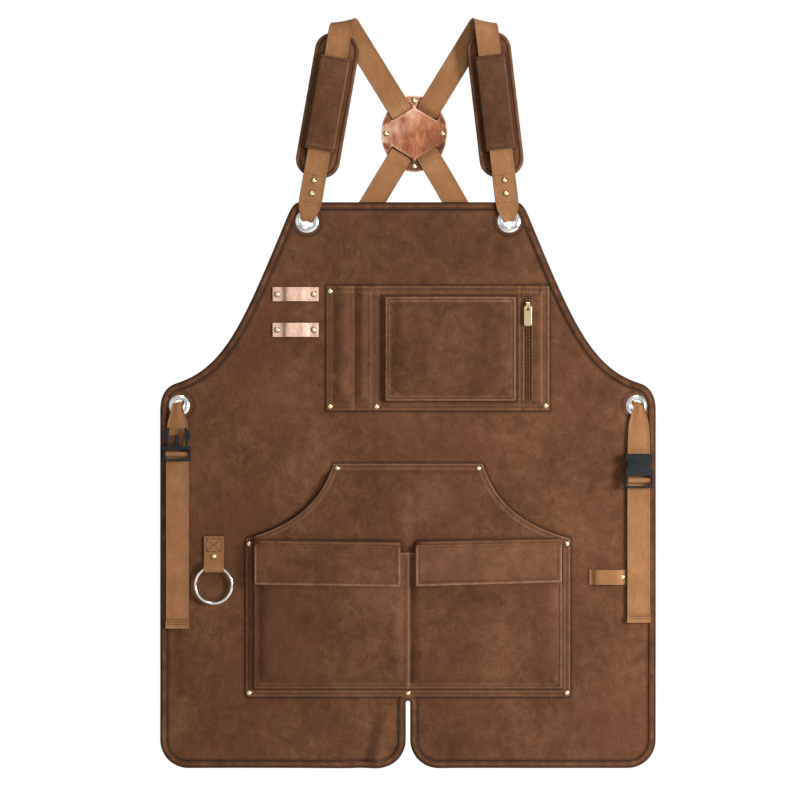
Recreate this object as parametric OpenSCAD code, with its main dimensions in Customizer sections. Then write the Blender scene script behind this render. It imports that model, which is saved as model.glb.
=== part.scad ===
// Waxed canvas work apron with crossed shoulder straps, hanging by its strap bends.
// Origin: under the strap bends, midway between them. +Z is up, the front faces -Y.

/* [Canvas panel] */
// Full width of the panel below the waist
panel_w = 682; // [660:1:700]
// Height of the bib's top edge
bib_top_z = -248; // [-252:1:-244]
// Height of the hem
hem_z = -1027; // [-1060:1:-1015]
// Thickness of the waxed canvas
canvas_t = 1.5; // [1.2:0.1:2]
// Radius of the four lower corners
hem_r = 38; // [25:1:42]
// Width of the slit between the two leg panels
slit_w = 8; // [6:1:12]
// Height of the top of the slit
slit_top_z = -934; // [-938:1:-932]
// Width of the sewn edge band
band_w = 9; // [7:0.5:9]
// Thickness of each ply of the edge band
band_t = 1; // [0.8:0.1:1.2]

/* [Eyelets] */
// Half the distance between the bib eyelets
bib_eyelet_x = 139.4; // [136:0.2:142]
// Height of the bib eyelets
bib_eyelet_z = -273.3; // [-275:0.1:-272]
// Hole radius of the bib eyelets
bib_eyelet_r = 10; // [9.5:0.1:10.5]
// Flange radius of the bib eyelets
bib_flange_r = 16.3; // [16:0.1:16.5]
// Half the distance between the waist eyelets
waist_eyelet_x = 315.5; // [314:0.1:316.5]
// Height of the waist eyelets
waist_eyelet_z = -527.5; // [-530:0.1:-526]
// Hole radius of the waist eyelets
waist_eyelet_r = 9.5; // [9.3:0.1:9.6]
// Flange radius of the waist eyelets
waist_flange_r = 14.8; // [14:0.1:15]

/* [Webbing harness] */
// Width of the cotton webbing
web_w = 32; // [30:0.5:34]
// Thickness of the cotton webbing
web_t = 2; // [1.6:0.1:2.2]
// Radius of the strap bends, to the middle of the webbing
bend_r = 12; // [11:0.5:14]
// Half the distance between the tops of the front straps
strap_top_x = 100.8; // [98:0.2:104]
// How far the crossed straps hang to one side
harness_shift = 7.7; // [0:0.1:9]
// Height of the middle of the cross plate
plate_z = -151.2; // [-153:0.1:-149]
// Width of the cross plate
plate_w = 91; // [88:1:94]
// Height of the cross plate
plate_h = 105; // [102:1:108]
// Width of the shoulder pads
pad_w = 61; // [58:1:62]
// Length of the shoulder pads
pad_l = 200; // [190:1:202]
// Thickness of the shoulder pads
pad_t = 8.4; // [7:0.1:8.6]

/* [Chest pocket] */
// Left edge of the pen pocket
pen_x0 = -112.5; // [-114:0.5:-110]
// Left edge of the chest patch
chest_x0 = -50.4; // [-52:0.2:-50]
// Right edge of the chest patch
chest_x1 = 195; // [193:0.5:197]
// Height of the chest patch's top edge
chest_top_z = -363; // [-365:0.5:-361]
// Height of the chest patch's bottom edge
chest_bottom_z = -534; // [-538:0.5:-532]
// Middle of the zip
zip_x = 165; // [164:0.2:166]

/* [Lower pockets] */
// Half the width of the hand pocket
hand_w = 223.6; // [222:0.2:226]
// Half the width of the hand pocket's top edge
hand_top_w = 103; // [100:1:106]
// Height of the hand pocket's top edge
hand_top_z = -608; // [-610:1:-606]
// Height of the hand pocket's bottom edge
hand_bottom_z = -929; // [-930:0.5:-928]
// Depth of the hand pocket, canvas to canvas
pocket_gap = 6; // [5.5:0.1:6.5]
// Height of each flap
flap_h = 58; // [50:1:60]
// Width of each flap
flap_w = 201; // [196:1:202]

/* [Buckle and ring] */
// Distance of the waist straps from the middle
tie_x = 318; // [317.5:0.1:319]
// Outside diameter of the towel ring
ring_d = 54.5; // [52:0.5:56]
// Diameter of the towel ring's wire
ring_wire = 4; // [3.6:0.1:4]
// Width of the ring tab
tab_w = 27.6; // [26:0.2:28]

/* [Hidden] */
$fn = 48;

// Colours
canvas_col = "#6f4a33";
seam_col = "#5a3a27";
web_col = "#b5835a";
brass_col = "#d8b765";
nickel_col = "#d9d9d6";
hide_col = "#d9a98a";
plate_col = "#b5653a";
black_col = "#1b1d1e";
foam_col = "#44484a";

// Rivets: head radius, head height, shank radius and back cap height
rivet_r = 4;
rivet_h = 1.8;
shank_r = 1.5;
cap_h = 1.2;

// Layers of the front, measured from the panel's front face at y = 0
hand_face = -pocket_gap - canvas_t;
lower_gap = 5;
lower_face = hand_face - lower_gap - canvas_t;
flap_t = 1.5;
flap_gap = 0.5;
flap_back = lower_face - flap_gap;
seam_w = 9;

// Front straps
left_bottom = [-bib_eyelet_x, bib_eyelet_z];
right_bottom = [bib_eyelet_x, bib_eyelet_z];
bend_start_z = web_t / 2 - bend_r;
strap_front_y = -3.2;
front_lean = (bend_r + strap_front_y) / norm([strap_top_x - bib_eyelet_x, bib_eyelet_z]);
plate_c = [harness_shift + 1, plate_z];
plate_y = 9;

// ---- Plane geometry ----
function arc(c, r, a0, a1, n = 8) =
    [for (i = [0 : n]) c + r * [cos(a0 + (a1 - a0) * i / n), sin(a0 + (a1 - a0) * i / n)]];
function bezier(p, n = 12) =
    [for (i = [0 : n]) let (t = i / n, u = 1 - t)
        u * u * u * p[0] + 3 * u * u * t * p[1] + 3 * u * t * t * p[2] + t * t * t * p[3]];
function mirrored(pts) = [for (i = [len(pts) - 1 : -1 : 0]) [-pts[i][0], pts[i][1]]];
function rounded(w, h, r) = concat(
    arc([w / 2 - r, h / 2 - r], r, 0, 90), arc([r - w / 2, h / 2 - r], r, 90, 180),
    arc([r - w / 2, r - h / 2], r, 180, 270), arc([w / 2 - r, r - h / 2], r, 270, 360));
function unit(v) = v / norm(v);

// Extrudes a shape drawn in X and Z from y0 towards the back by t
module slab(y0, t) {
    translate([0, y0 + t, 0]) rotate([90, 0, 0]) linear_extrude(height = t) children();
}
module rect(x0, x1, z0, z1) {
    translate([x0, z0]) square([x1 - x0, z1 - z0]);
}
// A round solid whose profile is drawn as [radius, depth towards the front]
module turned(x, z, y = 0) {
    translate([x, y, z]) rotate([90, 0, 0]) rotate_extrude() children();
}
module rod_x(x0, x1, y, z, r) {
    translate([x0, y, z]) rotate([0, 90, 0]) cylinder(h = x1 - x0, r = r);
}

// ---- Canvas panel ----
side_curve = bezier([[166, bib_top_z - 20], [226, -413], [252, -477], [320, -498]], 16);
top_corner = bezier([[150, bib_top_z], [157, bib_top_z], [162, bib_top_z - 10],
    [166, bib_top_z - 20]], 6);
waist_corner = bezier([[320, -498], [333, -502], [panel_w / 2, -514], [panel_w / 2, -534]], 8);
right_half = concat(
    top_corner, side_curve, waist_corner,
    arc([panel_w / 2 - hem_r, hem_z + hem_r], hem_r, 0, -90),
    arc([slit_w / 2 + hem_r, hem_z + hem_r], hem_r, 270, 180),
    arc([0, slit_top_z - slit_w / 2], slit_w / 2, 0, 90, 4));

module panel_outline() {
    polygon(concat(right_half, mirrored(right_half)));
}
module eyelet_holes(extra = 0) {
    for (s = [-1, 1]) {
        translate([s * bib_eyelet_x, bib_eyelet_z]) circle(r = bib_eyelet_r + extra);
        translate([s * waist_eyelet_x, waist_eyelet_z]) circle(r = waist_eyelet_r + extra);
    }
}
barrel_t = 0.6;
module canvas_panel() {
    color(canvas_col) slab(0, canvas_t) difference() {
        panel_outline();
        eyelet_holes(barrel_t);
    }
}
module edge_binding() {
    color(seam_col) {
        slab(-band_t, band_t) band_face();
        slab(canvas_t, band_t) band_face();
        slab(-band_t, canvas_t + 2 * band_t) difference() {
            offset(delta = band_t) panel_outline();
            panel_outline();
        }
    }
}
module band_face() {
    difference() {
        panel_outline();
        offset(delta = -band_w) panel_outline();
    }
}

// ---- Eyelets ----
flange_h = 1.6;
module eyelet(x, z, r, flange_r) {
    turned(x, z) polygon([[r, -canvas_t - 0.6], [r + barrel_t, -canvas_t - 0.6], [r + barrel_t, 0],
        [flange_r, 0], [flange_r - 0.8, flange_h * 0.7], [flange_r - 2.6, flange_h],
        [r + 1.4, flange_h], [r, flange_h * 0.6]]);
}
module washer(x, z, r, flange_r) {
    turned(x, z) polygon([[r + barrel_t, -canvas_t], [flange_r - 1, -canvas_t],
        [flange_r - 1.6, -canvas_t - 1], [r + barrel_t, -canvas_t - 1]]);
}
module bib_eyelets() {
    color(nickel_col) for (s = [-1, 1])
        eyelet(s * bib_eyelet_x, bib_eyelet_z, bib_eyelet_r, bib_flange_r);
}
module bib_washers() {
    color(nickel_col) for (s = [-1, 1])
        washer(s * bib_eyelet_x, bib_eyelet_z, bib_eyelet_r, bib_flange_r);
}
module waist_eyelets() {
    color(nickel_col) for (s = [-1, 1])
        eyelet(s * waist_eyelet_x, waist_eyelet_z, waist_eyelet_r, waist_flange_r);
}
module waist_washers() {
    color(nickel_col) for (s = [-1, 1])
        washer(s * waist_eyelet_x, waist_eyelet_z, waist_eyelet_r, waist_flange_r);
}

// ---- Shoulder straps ----
// A ring is [centre, width direction, width, thickness]; the strap is one sweep through its rings
function strap_corners(c, dir, along, w, t) = let (n = unit(cross(along, dir)), d = unit(dir))
    [c + d * w / 2 + n * t / 2, c - d * w / 2 + n * t / 2,
     c - d * w / 2 - n * t / 2, c + d * w / 2 - n * t / 2];
module strip(rings) {
    last = len(rings) - 1;
    points = [for (i = [0 : last]) let (
        a = rings[max(i - 1, 0)][0], b = rings[min(i + 1, last)][0])
        each strap_corners(rings[i][0], rings[i][1], b - a, rings[i][2], rings[i][3])];
    sides = [for (i = [0 : last - 1], k = [0 : 3]) let (m = (k + 1) % 4)
        each [[4 * i + k, 4 * i + m, 4 * i + 4 + m], [4 * i + k, 4 * i + 4 + m, 4 * i + 4 + k]]];
    ends = [[0, 3, 2], [0, 2, 1],
        [4 * last, 4 * last + 1, 4 * last + 2], [4 * last, 4 * last + 2, 4 * last + 3]];
    polyhedron(points = points, faces = concat(sides, ends));
}

// s is -1 for the strap in front of the left bib eyelet and 1 for the right one
function bottom(s) = s < 0 ? left_bottom : right_bottom;
function bend_start(s) = [harness_shift + s * strap_top_x, bend_start_z];
function up_dir(s) = unit(bend_start(s) - bottom(s));
// The strap leaves the bend towards the cross plate; a few passes settle its direction
function fold_u(s, out) = let (v = up_dir(s) + out) v[0] * s < 0 ? unit(v) : -unit(v);
function fold_n(s, out) = let (u = fold_u(s, out)) u[0] < 0 ? [u[1], -u[0]] : [-u[1], u[0]];
function fold_drift(s, out) = let (u = fold_u(s, out), n = fold_n(s, out), d = up_dir(s))
    u * (PI * bend_r * (d * u) / (d * n));
function out_dir(s, k = 4) = k == 0 ? unit(plate_c - bend_start(s))
    : let (o = out_dir(s, k - 1)) unit(plate_c - bend_start(s) - fold_drift(s, o));
function xz(p, y) = [p[0], y, p[1]];
function across(d) = [d[1], 0, -d[0]];

// Depth of the front strap's middle at distance q above the bib eyelet
function front_y(q) = strap_front_y - q * front_lean;

// Doubled end: down behind the front ply, behind the bib, through its eyelet, and up the front
function front_rings(s) = let (d = up_dir(s), b = bottom(s), w = across(d),
        behind = web_t + 0.1,
        route = concat(
            [for (q = [66, 52, 35]) [q, front_y(q) + behind, web_w]],
            [[30, 2.6, web_w], [25, 4.6, web_w], [12, 4.6, 28], [5, 4.4, 20],
                [1.5, 2.6, 16.5], [0.6, 0.6, 16], [1.5, -1.8, 16.5], [5, -3.6, 20],
                [13, front_y(13), 28]],
            [for (q = [24, 60, 110, 160, 210, 250]) [q, front_y(q), web_w]]))
    [for (r = route) [xz(b + d * r[0], r[1]), w, r[2], web_t]];

function bend_rings(s) = let (o = out_dir(s), u = fold_u(s, o), n = fold_n(s, o), d = up_dir(s),
        across_d = [d[1], -d[0]], wu = across_d * u, wn = across_d * n, steps = 14)
    [for (i = [0 : steps]) let (a = 180 * i / steps, slide = fold_drift(s, o) * i / steps,
        p = bend_start(s) + slide + n * bend_r * sin(a))
        [xz(p, -bend_r * cos(a)), xz(u * wu + n * wn * cos(a), wn * sin(a)), web_w, web_t]];

// Down the back, between the two plate leathers, and behind the bib to the other waist eyelet
function back_end(s) = bend_start(s) + fold_drift(s, out_dir(s));
// Depth of each strap between the leathers, and of both where they lie on the plate's rim
function plate_pass_y(s) = plate_y + (s < 0 ? 3.3 : 5.7);
rim_y = plate_y - 1.3;
slit_near = 31;
slit_far = 40;
rim_far = 53;
function back_rings(s) = let (o = out_dir(s), e = back_end(s), l = norm(plate_c - e),
        w = [-o[1], 0, o[0]])
    [for (q = [[l * 0.2, bend_r - 0.8], [l / 2, plate_y + 1], [l - rim_far, rim_y],
            [l - slit_far, rim_y], [l - slit_near, plate_pass_y(s)], [l, plate_pass_y(s)]])
        [xz(e + o * q[0], q[1]), w, web_w, web_t]];
low_y = 5.2;
low_q = 60;
function low_dir(s) = unit([-s * 45, -74]);
function low_path(s) = bezier([plate_c + low_dir(s) * low_q, plate_c + low_dir(s) * 2.5 * low_q,
    [-s * 175, -470], [-s * (waist_eyelet_x - 17), waist_eyelet_z + 19]], 14);
function low_rings(s) = let (d = low_dir(s), p = low_path(s), n = len(p) - 1)
    concat(
        [for (q = [[slit_near, plate_pass_y(s)], [slit_far, rim_y]])
            [xz(plate_c + d * q[0], q[1]), [-d[1], 0, d[0]], web_w, web_t]],
        [for (i = [0 : n]) let (v = unit(p[min(i + 1, n)] - p[max(i - 1, 0)]))
            [xz(p[i], max(low_y, rim_y - i)), [-v[1], 0, v[0]], i == n ? 26 : web_w, web_t]],
        [for (e = [[9, 11, low_y, 19], [3.5, 4, 4.4, 16], [0.8, 0.5, 1.6, 15],
                [0, -0.6, -1.2, 15]])
            [[-s * (waist_eyelet_x - e[0]), e[2], waist_eyelet_z + e[1]],
                [-0.7, 0, -s * 0.7], e[3], web_t]]);

module shoulder_strap(s) {
    color(web_col) strip(concat(front_rings(s), bend_rings(s), back_rings(s), low_rings(s)));
}
module left_shoulder_strap() {
    shoulder_strap(-1);
}
module right_shoulder_strap() {
    shoulder_strap(1);
}

// ---- Rivets ----
// A rivet through the cloth: domed head in front of face_y, shank, and cap behind back_y
module rivet(x, z, face_y, back_y = canvas_t) {
    turned(x, z, face_y) polygon([[0, 0], [rivet_r, 0], [rivet_r, 0.5], [rivet_r - 0.8, 0.9],
        [rivet_r - 1.5, rivet_h - 0.3], [0, rivet_h]]);
    turned(x, z, face_y) polygon([[0, 0.1], [shank_r, 0.1], [shank_r, face_y - back_y - 0.1],
        [0, face_y - back_y - 0.1]]);
    turned(x, z, back_y) polygon([[0, 0], [rivet_r - 0.6, 0], [rivet_r - 0.9, -cap_h],
        [0, -cap_h]]);
}
rivet_q = [38.5, 56.5];
module strap_rivets() {
    color(brass_col) for (s = [-1, 1], q = rivet_q) {
        p = bottom(s) + up_dir(s) * q;
        y = front_y(q) - web_t / 2;
        rivet(p[0], p[1], y, y + 2 * web_t + 0.1);
    }
}

// ---- Cross plate ----
plate_t = 2.2;
module plate_shape(w, h) {
    translate(plate_c) scale([w / h, 1]) circle(d = h);
}
// Four slits round a central diamond, where the straps go between the leathers
slit_d = (slit_near + slit_far) / 2;
module plate_slits() {
    for (s = [-1, 1], end = [-1, 1]) {
        o = out_dir(s);
        translate(plate_c + o * end * slit_d) rotate(atan2(o[1], o[0]) + 90)
            square([web_w + 2, slit_far - slit_near], center = true);
    }
}
module cross_plate_front() {
    color(plate_col) slab(plate_y, plate_t) difference() {
        plate_shape(plate_w, plate_h);
        plate_slits();
        rivet_holes();
    }
}
module cross_plate_back() {
    color(plate_col) slab(plate_y + 7, plate_t) difference() {
        plate_shape(plate_w, plate_h);
        rivet_holes();
    }
}
plate_rivets = [[0, plate_h / 2 - 7], [0, 7 - plate_h / 2], [plate_w / 2 - 6.5, 0],
    [6.5 - plate_w / 2, 0]];
module rivet_holes() {
    for (p = plate_rivets) translate(plate_c + p) circle(r = shank_r);
}
module cross_plate_rivets() {
    color(brass_col) for (p = plate_rivets)
        rivet(plate_c[0] + p[0], plate_c[1] + p[1], plate_y, plate_y + 7 + plate_t);
}

// ---- Shoulder pads ----
// Frame of a front strap: x across, y towards the back, z up along the strap
module on_strap(s) {
    d = up_dir(s);
    b = bottom(s);
    translate([b[0], strap_front_y, b[1]]) rotate([0, atan2(d[0], d[1]), 0])
        rotate([atan(front_lean), 0, 0]) children();
}
pad_q = 62;
pad_y = web_t / 2 + 3.6;
cover_t = 1;
module pad_shape(shrink = 0) {
    translate([0, pad_q + pad_l / 2])
        polygon(rounded(pad_w - 2 * shrink, pad_l - 2 * shrink, 24 - shrink));
}
module pad_cover(s) {
    color(canvas_col) on_strap(s) difference() {
        slab(pad_y, pad_t) pad_shape(1.6);
        slab(pad_y + cover_t, pad_t - 2 * cover_t) pad_shape(1.6 + cover_t);
    }
}
module pad_foam(s) {
    color(foam_col) on_strap(s) slab(pad_y + cover_t, pad_t - 2 * cover_t)
        pad_shape(1.6 + cover_t);
}
module pad_binding(s) {
    color(seam_col) on_strap(s) slab(pad_y + 1.2, pad_t - 2.4) difference() {
        pad_shape();
        pad_shape(1.6);
    }
}
// The sleeve is a band sewn to the pad along its long sides; the strap runs through it
sleeve_w = 42;
sleeve_l = 130;
sleeve_q = pad_q + 37;
sleeve_front = -web_t / 2 - 1.6;
module pad_sleeve(s) {
    color(canvas_col) on_strap(s) translate([0, 0, sleeve_q]) {
        translate([-sleeve_w / 2, sleeve_front, 0]) cube([sleeve_w, 1, sleeve_l]);
        for (m = [-1, 1]) translate([m * (sleeve_w / 2 - 0.5) - 0.5, sleeve_front, 0])
            cube([1, pad_y - sleeve_front, sleeve_l]);
    }
}
module left_pad_cover() {
    pad_cover(-1);
}
module right_pad_cover() {
    pad_cover(1);
}
module left_pad_foam() {
    pad_foam(-1);
}
module right_pad_foam() {
    pad_foam(1);
}
module left_pad_binding() {
    pad_binding(-1);
}
module right_pad_binding() {
    pad_binding(1);
}
module left_pad_sleeve() {
    pad_sleeve(-1);
}
module right_pad_sleeve() {
    pad_sleeve(1);
}

// ---- Loops sewn or riveted to the panel ----
// A flat strip that arches off the panel between x1 and x2
module arched_loop(x0, x1, x2, x3, z0, z1, gap, t) {
    translate([0, 0, z0]) linear_extrude(height = z1 - z0) polygon([[x0, 0], [x1 + t, 0],
        [x1 + t, -gap], [x2 - t, -gap], [x2 - t, 0], [x3, 0], [x3, -t], [x2, -t],
        [x2, -gap - t], [x1, -gap - t], [x1, -t], [x0, -t]]);
}
loop_x0 = -187;
loop_x1 = -123.5;
loop_h = 19.3;
loop_z = [-383.7, -432.9];
loop_gap = 5;
loop_t = 2;
loop_rivet_in = 6.5;
module tool_loop(i) {
    color(hide_col) arched_loop(loop_x0, loop_x0 + 14, loop_x1 - 14, loop_x1,
        loop_z[i], loop_z[i] + loop_h, loop_gap, loop_t);
}
module upper_tool_loop() {
    tool_loop(0);
}
module lower_tool_loop() {
    tool_loop(1);
}
module tool_loop_rivets() {
    color(brass_col) for (z = loop_z, x = [loop_x0 + loop_rivet_in, loop_x1 - loop_rivet_in])
        rivet(x, z + loop_h / 2, -loop_t);
}
hammer_z = -775;
hammer_x1 = 301;
module hammer_loop() {
    color(web_col) arched_loop(249.4, 254, 289.4, hammer_x1, hammer_z, hammer_z + 21, 5, 1.3);
}
module hammer_loop_rivet() {
    color(brass_col) rivet(hammer_x1 - 5.3, hammer_z + 10.5, -1.3);
}

// ---- Pockets ----
// A pocket of canvas: flat on the cloth behind it along its seams, and standing off elsewhere
module pocket(base_y, gap) {
    color(canvas_col) {
        slab(base_y - canvas_t, canvas_t) intersection() {
            children(0);
            children(1);
        }
        slab(base_y - gap - canvas_t, canvas_t) difference() {
            children(0);
            children(1);
        }
        slab(base_y - gap - canvas_t, gap + canvas_t) intersection() {
            difference() {
                children(0);
                children(1);
            }
            offset(delta = canvas_t) children(1);
        }
    }
}
pen_split_x = -75.2;
module pen_pocket() {
    pocket(0, pocket_gap) {
        rect(pen_x0, chest_x0, chest_bottom_z, chest_top_z);
        union() {
            rect(pen_x0, pen_x0 + seam_w, chest_bottom_z, chest_top_z);
            rect(pen_split_x - 1.5, pen_split_x + 1.5, chest_bottom_z, chest_top_z);
            rect(chest_x0 - 2, chest_x0, chest_bottom_z, chest_top_z);
            rect(pen_x0, chest_x0, chest_bottom_z, chest_bottom_z + seam_w);
        }
    }
}
chest_hem = 12;
zip_slot_w = 9;
zip_top_z = chest_top_z - chest_hem;
zip_bottom_z = chest_bottom_z + seam_w;
module chest_patch() {
    difference() {
        pocket(0, pocket_gap) {
            rect(chest_x0, chest_x1, chest_bottom_z, chest_top_z);
            union() {
                rect(chest_x0, chest_x0 + 14, chest_bottom_z, chest_top_z);
                rect(chest_x1 - seam_w, chest_x1, chest_bottom_z, chest_top_z);
                rect(chest_x0, chest_x1, chest_top_z - chest_hem, chest_top_z);
                rect(chest_x0, chest_x1, chest_bottom_z, chest_bottom_z + seam_w);
            }
        }
        slab(hand_face - 1, canvas_t + 2)
            rect(zip_x - zip_slot_w / 2, zip_x + zip_slot_w / 2, zip_bottom_z + 2, zip_top_z - 2);
    }
}
inset_x0 = -31;
inset_x1 = 148.4;
inset_z0 = -521;
inset_z1 = zip_top_z - 3;
inset_gap = 5;
module inset_pocket() {
    pocket(hand_face, inset_gap) {
        rect(inset_x0, inset_x1, inset_z0, inset_z1);
        union() {
            rect(inset_x0, inset_x0 + 6, inset_z0, inset_z1);
            rect(inset_x1 - 6, inset_x1, inset_z0, inset_z1);
            rect(inset_x0, inset_x1, inset_z0, inset_z0 + 6);
        }
    }
}
module chest_rivets() {
    color(brass_col) for (p = [[pen_x0 + 5, chest_top_z - 7], [pen_x0 + 5, chest_bottom_z + 5],
            [chest_x0 + 7, chest_bottom_z + 4.8], [chest_x1 - 5, chest_bottom_z + 6]])
        rivet(p[0], p[1], -canvas_t);
}

// ---- Zip ----
tape_t = 0.8;
tooth_w = 1.9;
tooth_pitch = 5;
tooth_y0 = hand_face + 0.4;
module zip_tapes() {
    color(seam_col) slab(hand_face + canvas_t, tape_t) for (s = [-1, 1])
        rect(zip_x + min(s * 0.5, s * 9), zip_x + max(s * 0.5, s * 9), zip_bottom_z + 2,
            zip_top_z - 2);
}
// Each row stands on the front of its tape
module zip_teeth() {
    color(brass_col) for (s = [-1, 1]) slab(tooth_y0, hand_face + canvas_t - tooth_y0)
        for (z = [zip_bottom_z + 6 : tooth_pitch : zip_top_z - 8])
            rect(zip_x + s * 1.5 - tooth_w / 2, zip_x + s * 1.5 + tooth_w / 2,
                z + s * 0.6, z + s * 0.6 + 2.4);
}
module zip_stops() {
    color(brass_col) slab(tooth_y0, hand_face + canvas_t - tooth_y0) {
        rect(zip_x - 3.4, zip_x + 3.4, zip_bottom_z + 2.2, zip_bottom_z + 4.4);
        for (s = [-1, 1]) rect(zip_x + s * 2.2 - 1.2, zip_x + s * 2.2 + 1.2, zip_top_z - 5,
            zip_top_z - 3);
    }
}
slider_l = 9;
slider_top_z = zip_top_z - 5.6;
slider_face = tooth_y0 - 0.4;
slider_t = 1.8;
pin_y = slider_face - slider_t - 2.4;
pin_z = slider_top_z - 6.5;
pin_r = 0.9;
pin_play = 0.08;
// The slider's plate behind the tapes
back_plate_y = hand_face + canvas_t + tape_t + 0.2;
back_plate_t = 0.6;
module zip_slider() {
    color(brass_col) {
        slab(slider_face - slider_t, slider_t)
            rect(zip_x - 4.1, zip_x + 4.1, slider_top_z - slider_l, slider_top_z);
        for (s = [-1, 1]) slab(slider_face, 1.3)
            rect(zip_x + s * 3.6 - 0.5, zip_x + s * 3.6 + 0.5, slider_top_z - slider_l,
                slider_top_z);
        for (s = [-1, 1]) slab(pin_y - 1.4, slider_face - slider_t - pin_y + 1.4)
            rect(zip_x + s * 3.2 - 0.6, zip_x + s * 3.2 + 0.6, pin_z - 1.4, pin_z + 1.4);
        rod_x(zip_x - 3.2, zip_x + 3.2, pin_y, pin_z, pin_r);
        slab(slider_face, back_plate_y + back_plate_t - slider_face)
            rect(zip_x - 0.2, zip_x + 0.2, slider_top_z - 3, slider_top_z - 1);
        slab(back_plate_y, back_plate_t)
            rect(zip_x - 4.1, zip_x + 4.1, slider_top_z - slider_l, slider_top_z);
    }
}
pull_w = 10.5;
pull_l = 31;
pull_t = 1.6;
module zip_pull() {
    color(brass_col) difference() {
        union() {
            rod_x(zip_x - 2.3, zip_x + 2.3, pin_y, pin_z, 2);
            slab(pin_y - pull_t / 2, pull_t) {
                rect(zip_x - 2.3, zip_x + 2.3, pin_z - 4, pin_z);
                translate([zip_x, pin_z - 3.2 - (pull_l - 3.2) / 2])
                    polygon(rounded(pull_w, pull_l - 3.2, 2.5));
            }
        }
        rod_x(zip_x - 3, zip_x + 3, pin_y, pin_z, pin_r + pin_play);
        translate([zip_x, pin_y, pin_z - 8.2]) rotate([90, 0, 0])
            cylinder(h = 4, r = 1.8, center = true);
    }
}

// ---- Hand pocket, lower pocket and flaps ----
hand_side = bezier([[hand_top_w, hand_top_z], [118, -655], [148, -690], [hand_w - 1, -711]], 12);
hand_half = concat(hand_side, [[hand_w, -713], [hand_w, hand_bottom_z]]);
hand_hem = 12;
hand_seam = 9;
module hand_pocket() {
    pocket(0, pocket_gap) {
        polygon(concat(hand_half, mirrored(hand_half)));
        union() {
            rect(-hand_top_w - 5, hand_top_w + 5, hand_top_z - hand_hem, hand_top_z);
            rect(-hand_w, hand_w, hand_bottom_z, hand_bottom_z + 10);
            for (s = [-1, 1]) rect(min(s * hand_w, s * (hand_w - hand_seam)),
                max(s * hand_w, s * (hand_w - hand_seam)), hand_bottom_z, -700);
        }
    }
}
lower_w = 212;
lower_z0 = hand_bottom_z + 11.6;
lower_z1 = -730;
module lower_pocket() {
    pocket(hand_face, lower_gap) {
        rect(-lower_w, lower_w, lower_z0, lower_z1);
        union() {
            for (s = [-1, 1]) rect(min(s * lower_w, s * (lower_w - 5)),
                max(s * lower_w, s * (lower_w - 5)), lower_z0, lower_z1);
            rect(-2, 2, lower_z0, lower_z1);
            rect(-lower_w, lower_w, lower_z0, lower_z0 + 7);
        }
    }
}
module pocket_rivets() {
    side_x = hand_w - 4.6;
    color(brass_col) {
        for (s = [-1, 1]) {
            rivet(s * (hand_top_w - 5.5), hand_top_z - 6.5, -canvas_t);
            rivet(s * side_x, -718.5, -canvas_t);
            rivet(s * side_x, hand_bottom_z + 5, -canvas_t);
        }
        rivet(0, hand_bottom_z + 5, -canvas_t);
    }
}
flap_x = 10.5;
flap_pivot_z = -716.5;
flap_pivot_y = flap_back + 0.1;
seam_z = flap_pivot_z - 1;
// The sewn top of each flap, standing out from the hand pocket to the flap
module flap_seams() {
    color(canvas_col) slab(flap_back + 0.3, hand_face - flap_back - 0.3) for (s = [-1, 1])
        rect(min(s * flap_x, s * (flap_x + flap_w)), max(s * flap_x, s * (flap_x + flap_w)),
            seam_z - 2, seam_z);
}
module flap(s) {
    color(canvas_col) slab(flap_back - flap_t, flap_t)
        rect(min(s * flap_x, s * (flap_x + flap_w)), max(s * flap_x, s * (flap_x + flap_w)),
            flap_pivot_z - flap_h, flap_pivot_z);
}
module left_flap() {
    flap(-1);
}
module right_flap() {
    flap(1);
}

// ---- Towel ring ----
ring_x = -267.7;
ring_c_z = -775;
ring_mean = (ring_d - ring_wire) / 2;
tunnel_r = 4.5;
tab_t = 1.3;
tunnel_y = -tunnel_r - tab_t - 0.1;
tunnel_z = -752;
tab_top_z = -708;
module ring_tab() {
    color(web_col) difference() {
        union() {
            rod_x(ring_x - tab_w / 2, ring_x + tab_w / 2, tunnel_y, tunnel_z, tunnel_r + tab_t);
            translate([ring_x - tab_w / 2, 0, 0]) rotate([90, 0, 90])
                linear_extrude(height = tab_w) polygon([[0, tab_top_z], [0, tunnel_z],
                    [tunnel_y, tunnel_z], [tunnel_y - tunnel_r - tab_t, tunnel_z],
                    [tunnel_y - tunnel_r + 0.4, tunnel_z + 5.2], [-2 * tab_t, tunnel_z + 10],
                    [-2 * tab_t, tab_top_z]]);
        }
        rod_x(ring_x - tab_w, ring_x + tab_w, tunnel_y, tunnel_z, tunnel_r);
    }
}
module ring_tab_rivet() {
    color(brass_col) rivet(ring_x, -736, -2 * tab_t);
}
module towel_ring() {
    color(nickel_col) translate([ring_x, tunnel_y, ring_c_z]) rotate([90, 0, 0])
        rotate_extrude() translate([ring_mean, 0]) circle(d = ring_wire);
}

// ---- Waist straps ----
tie_y = -4.6;
tie_t = 1.8;
tie_top_z = waist_eyelet_z - 1;
tie_end = [-836, -828];
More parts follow.
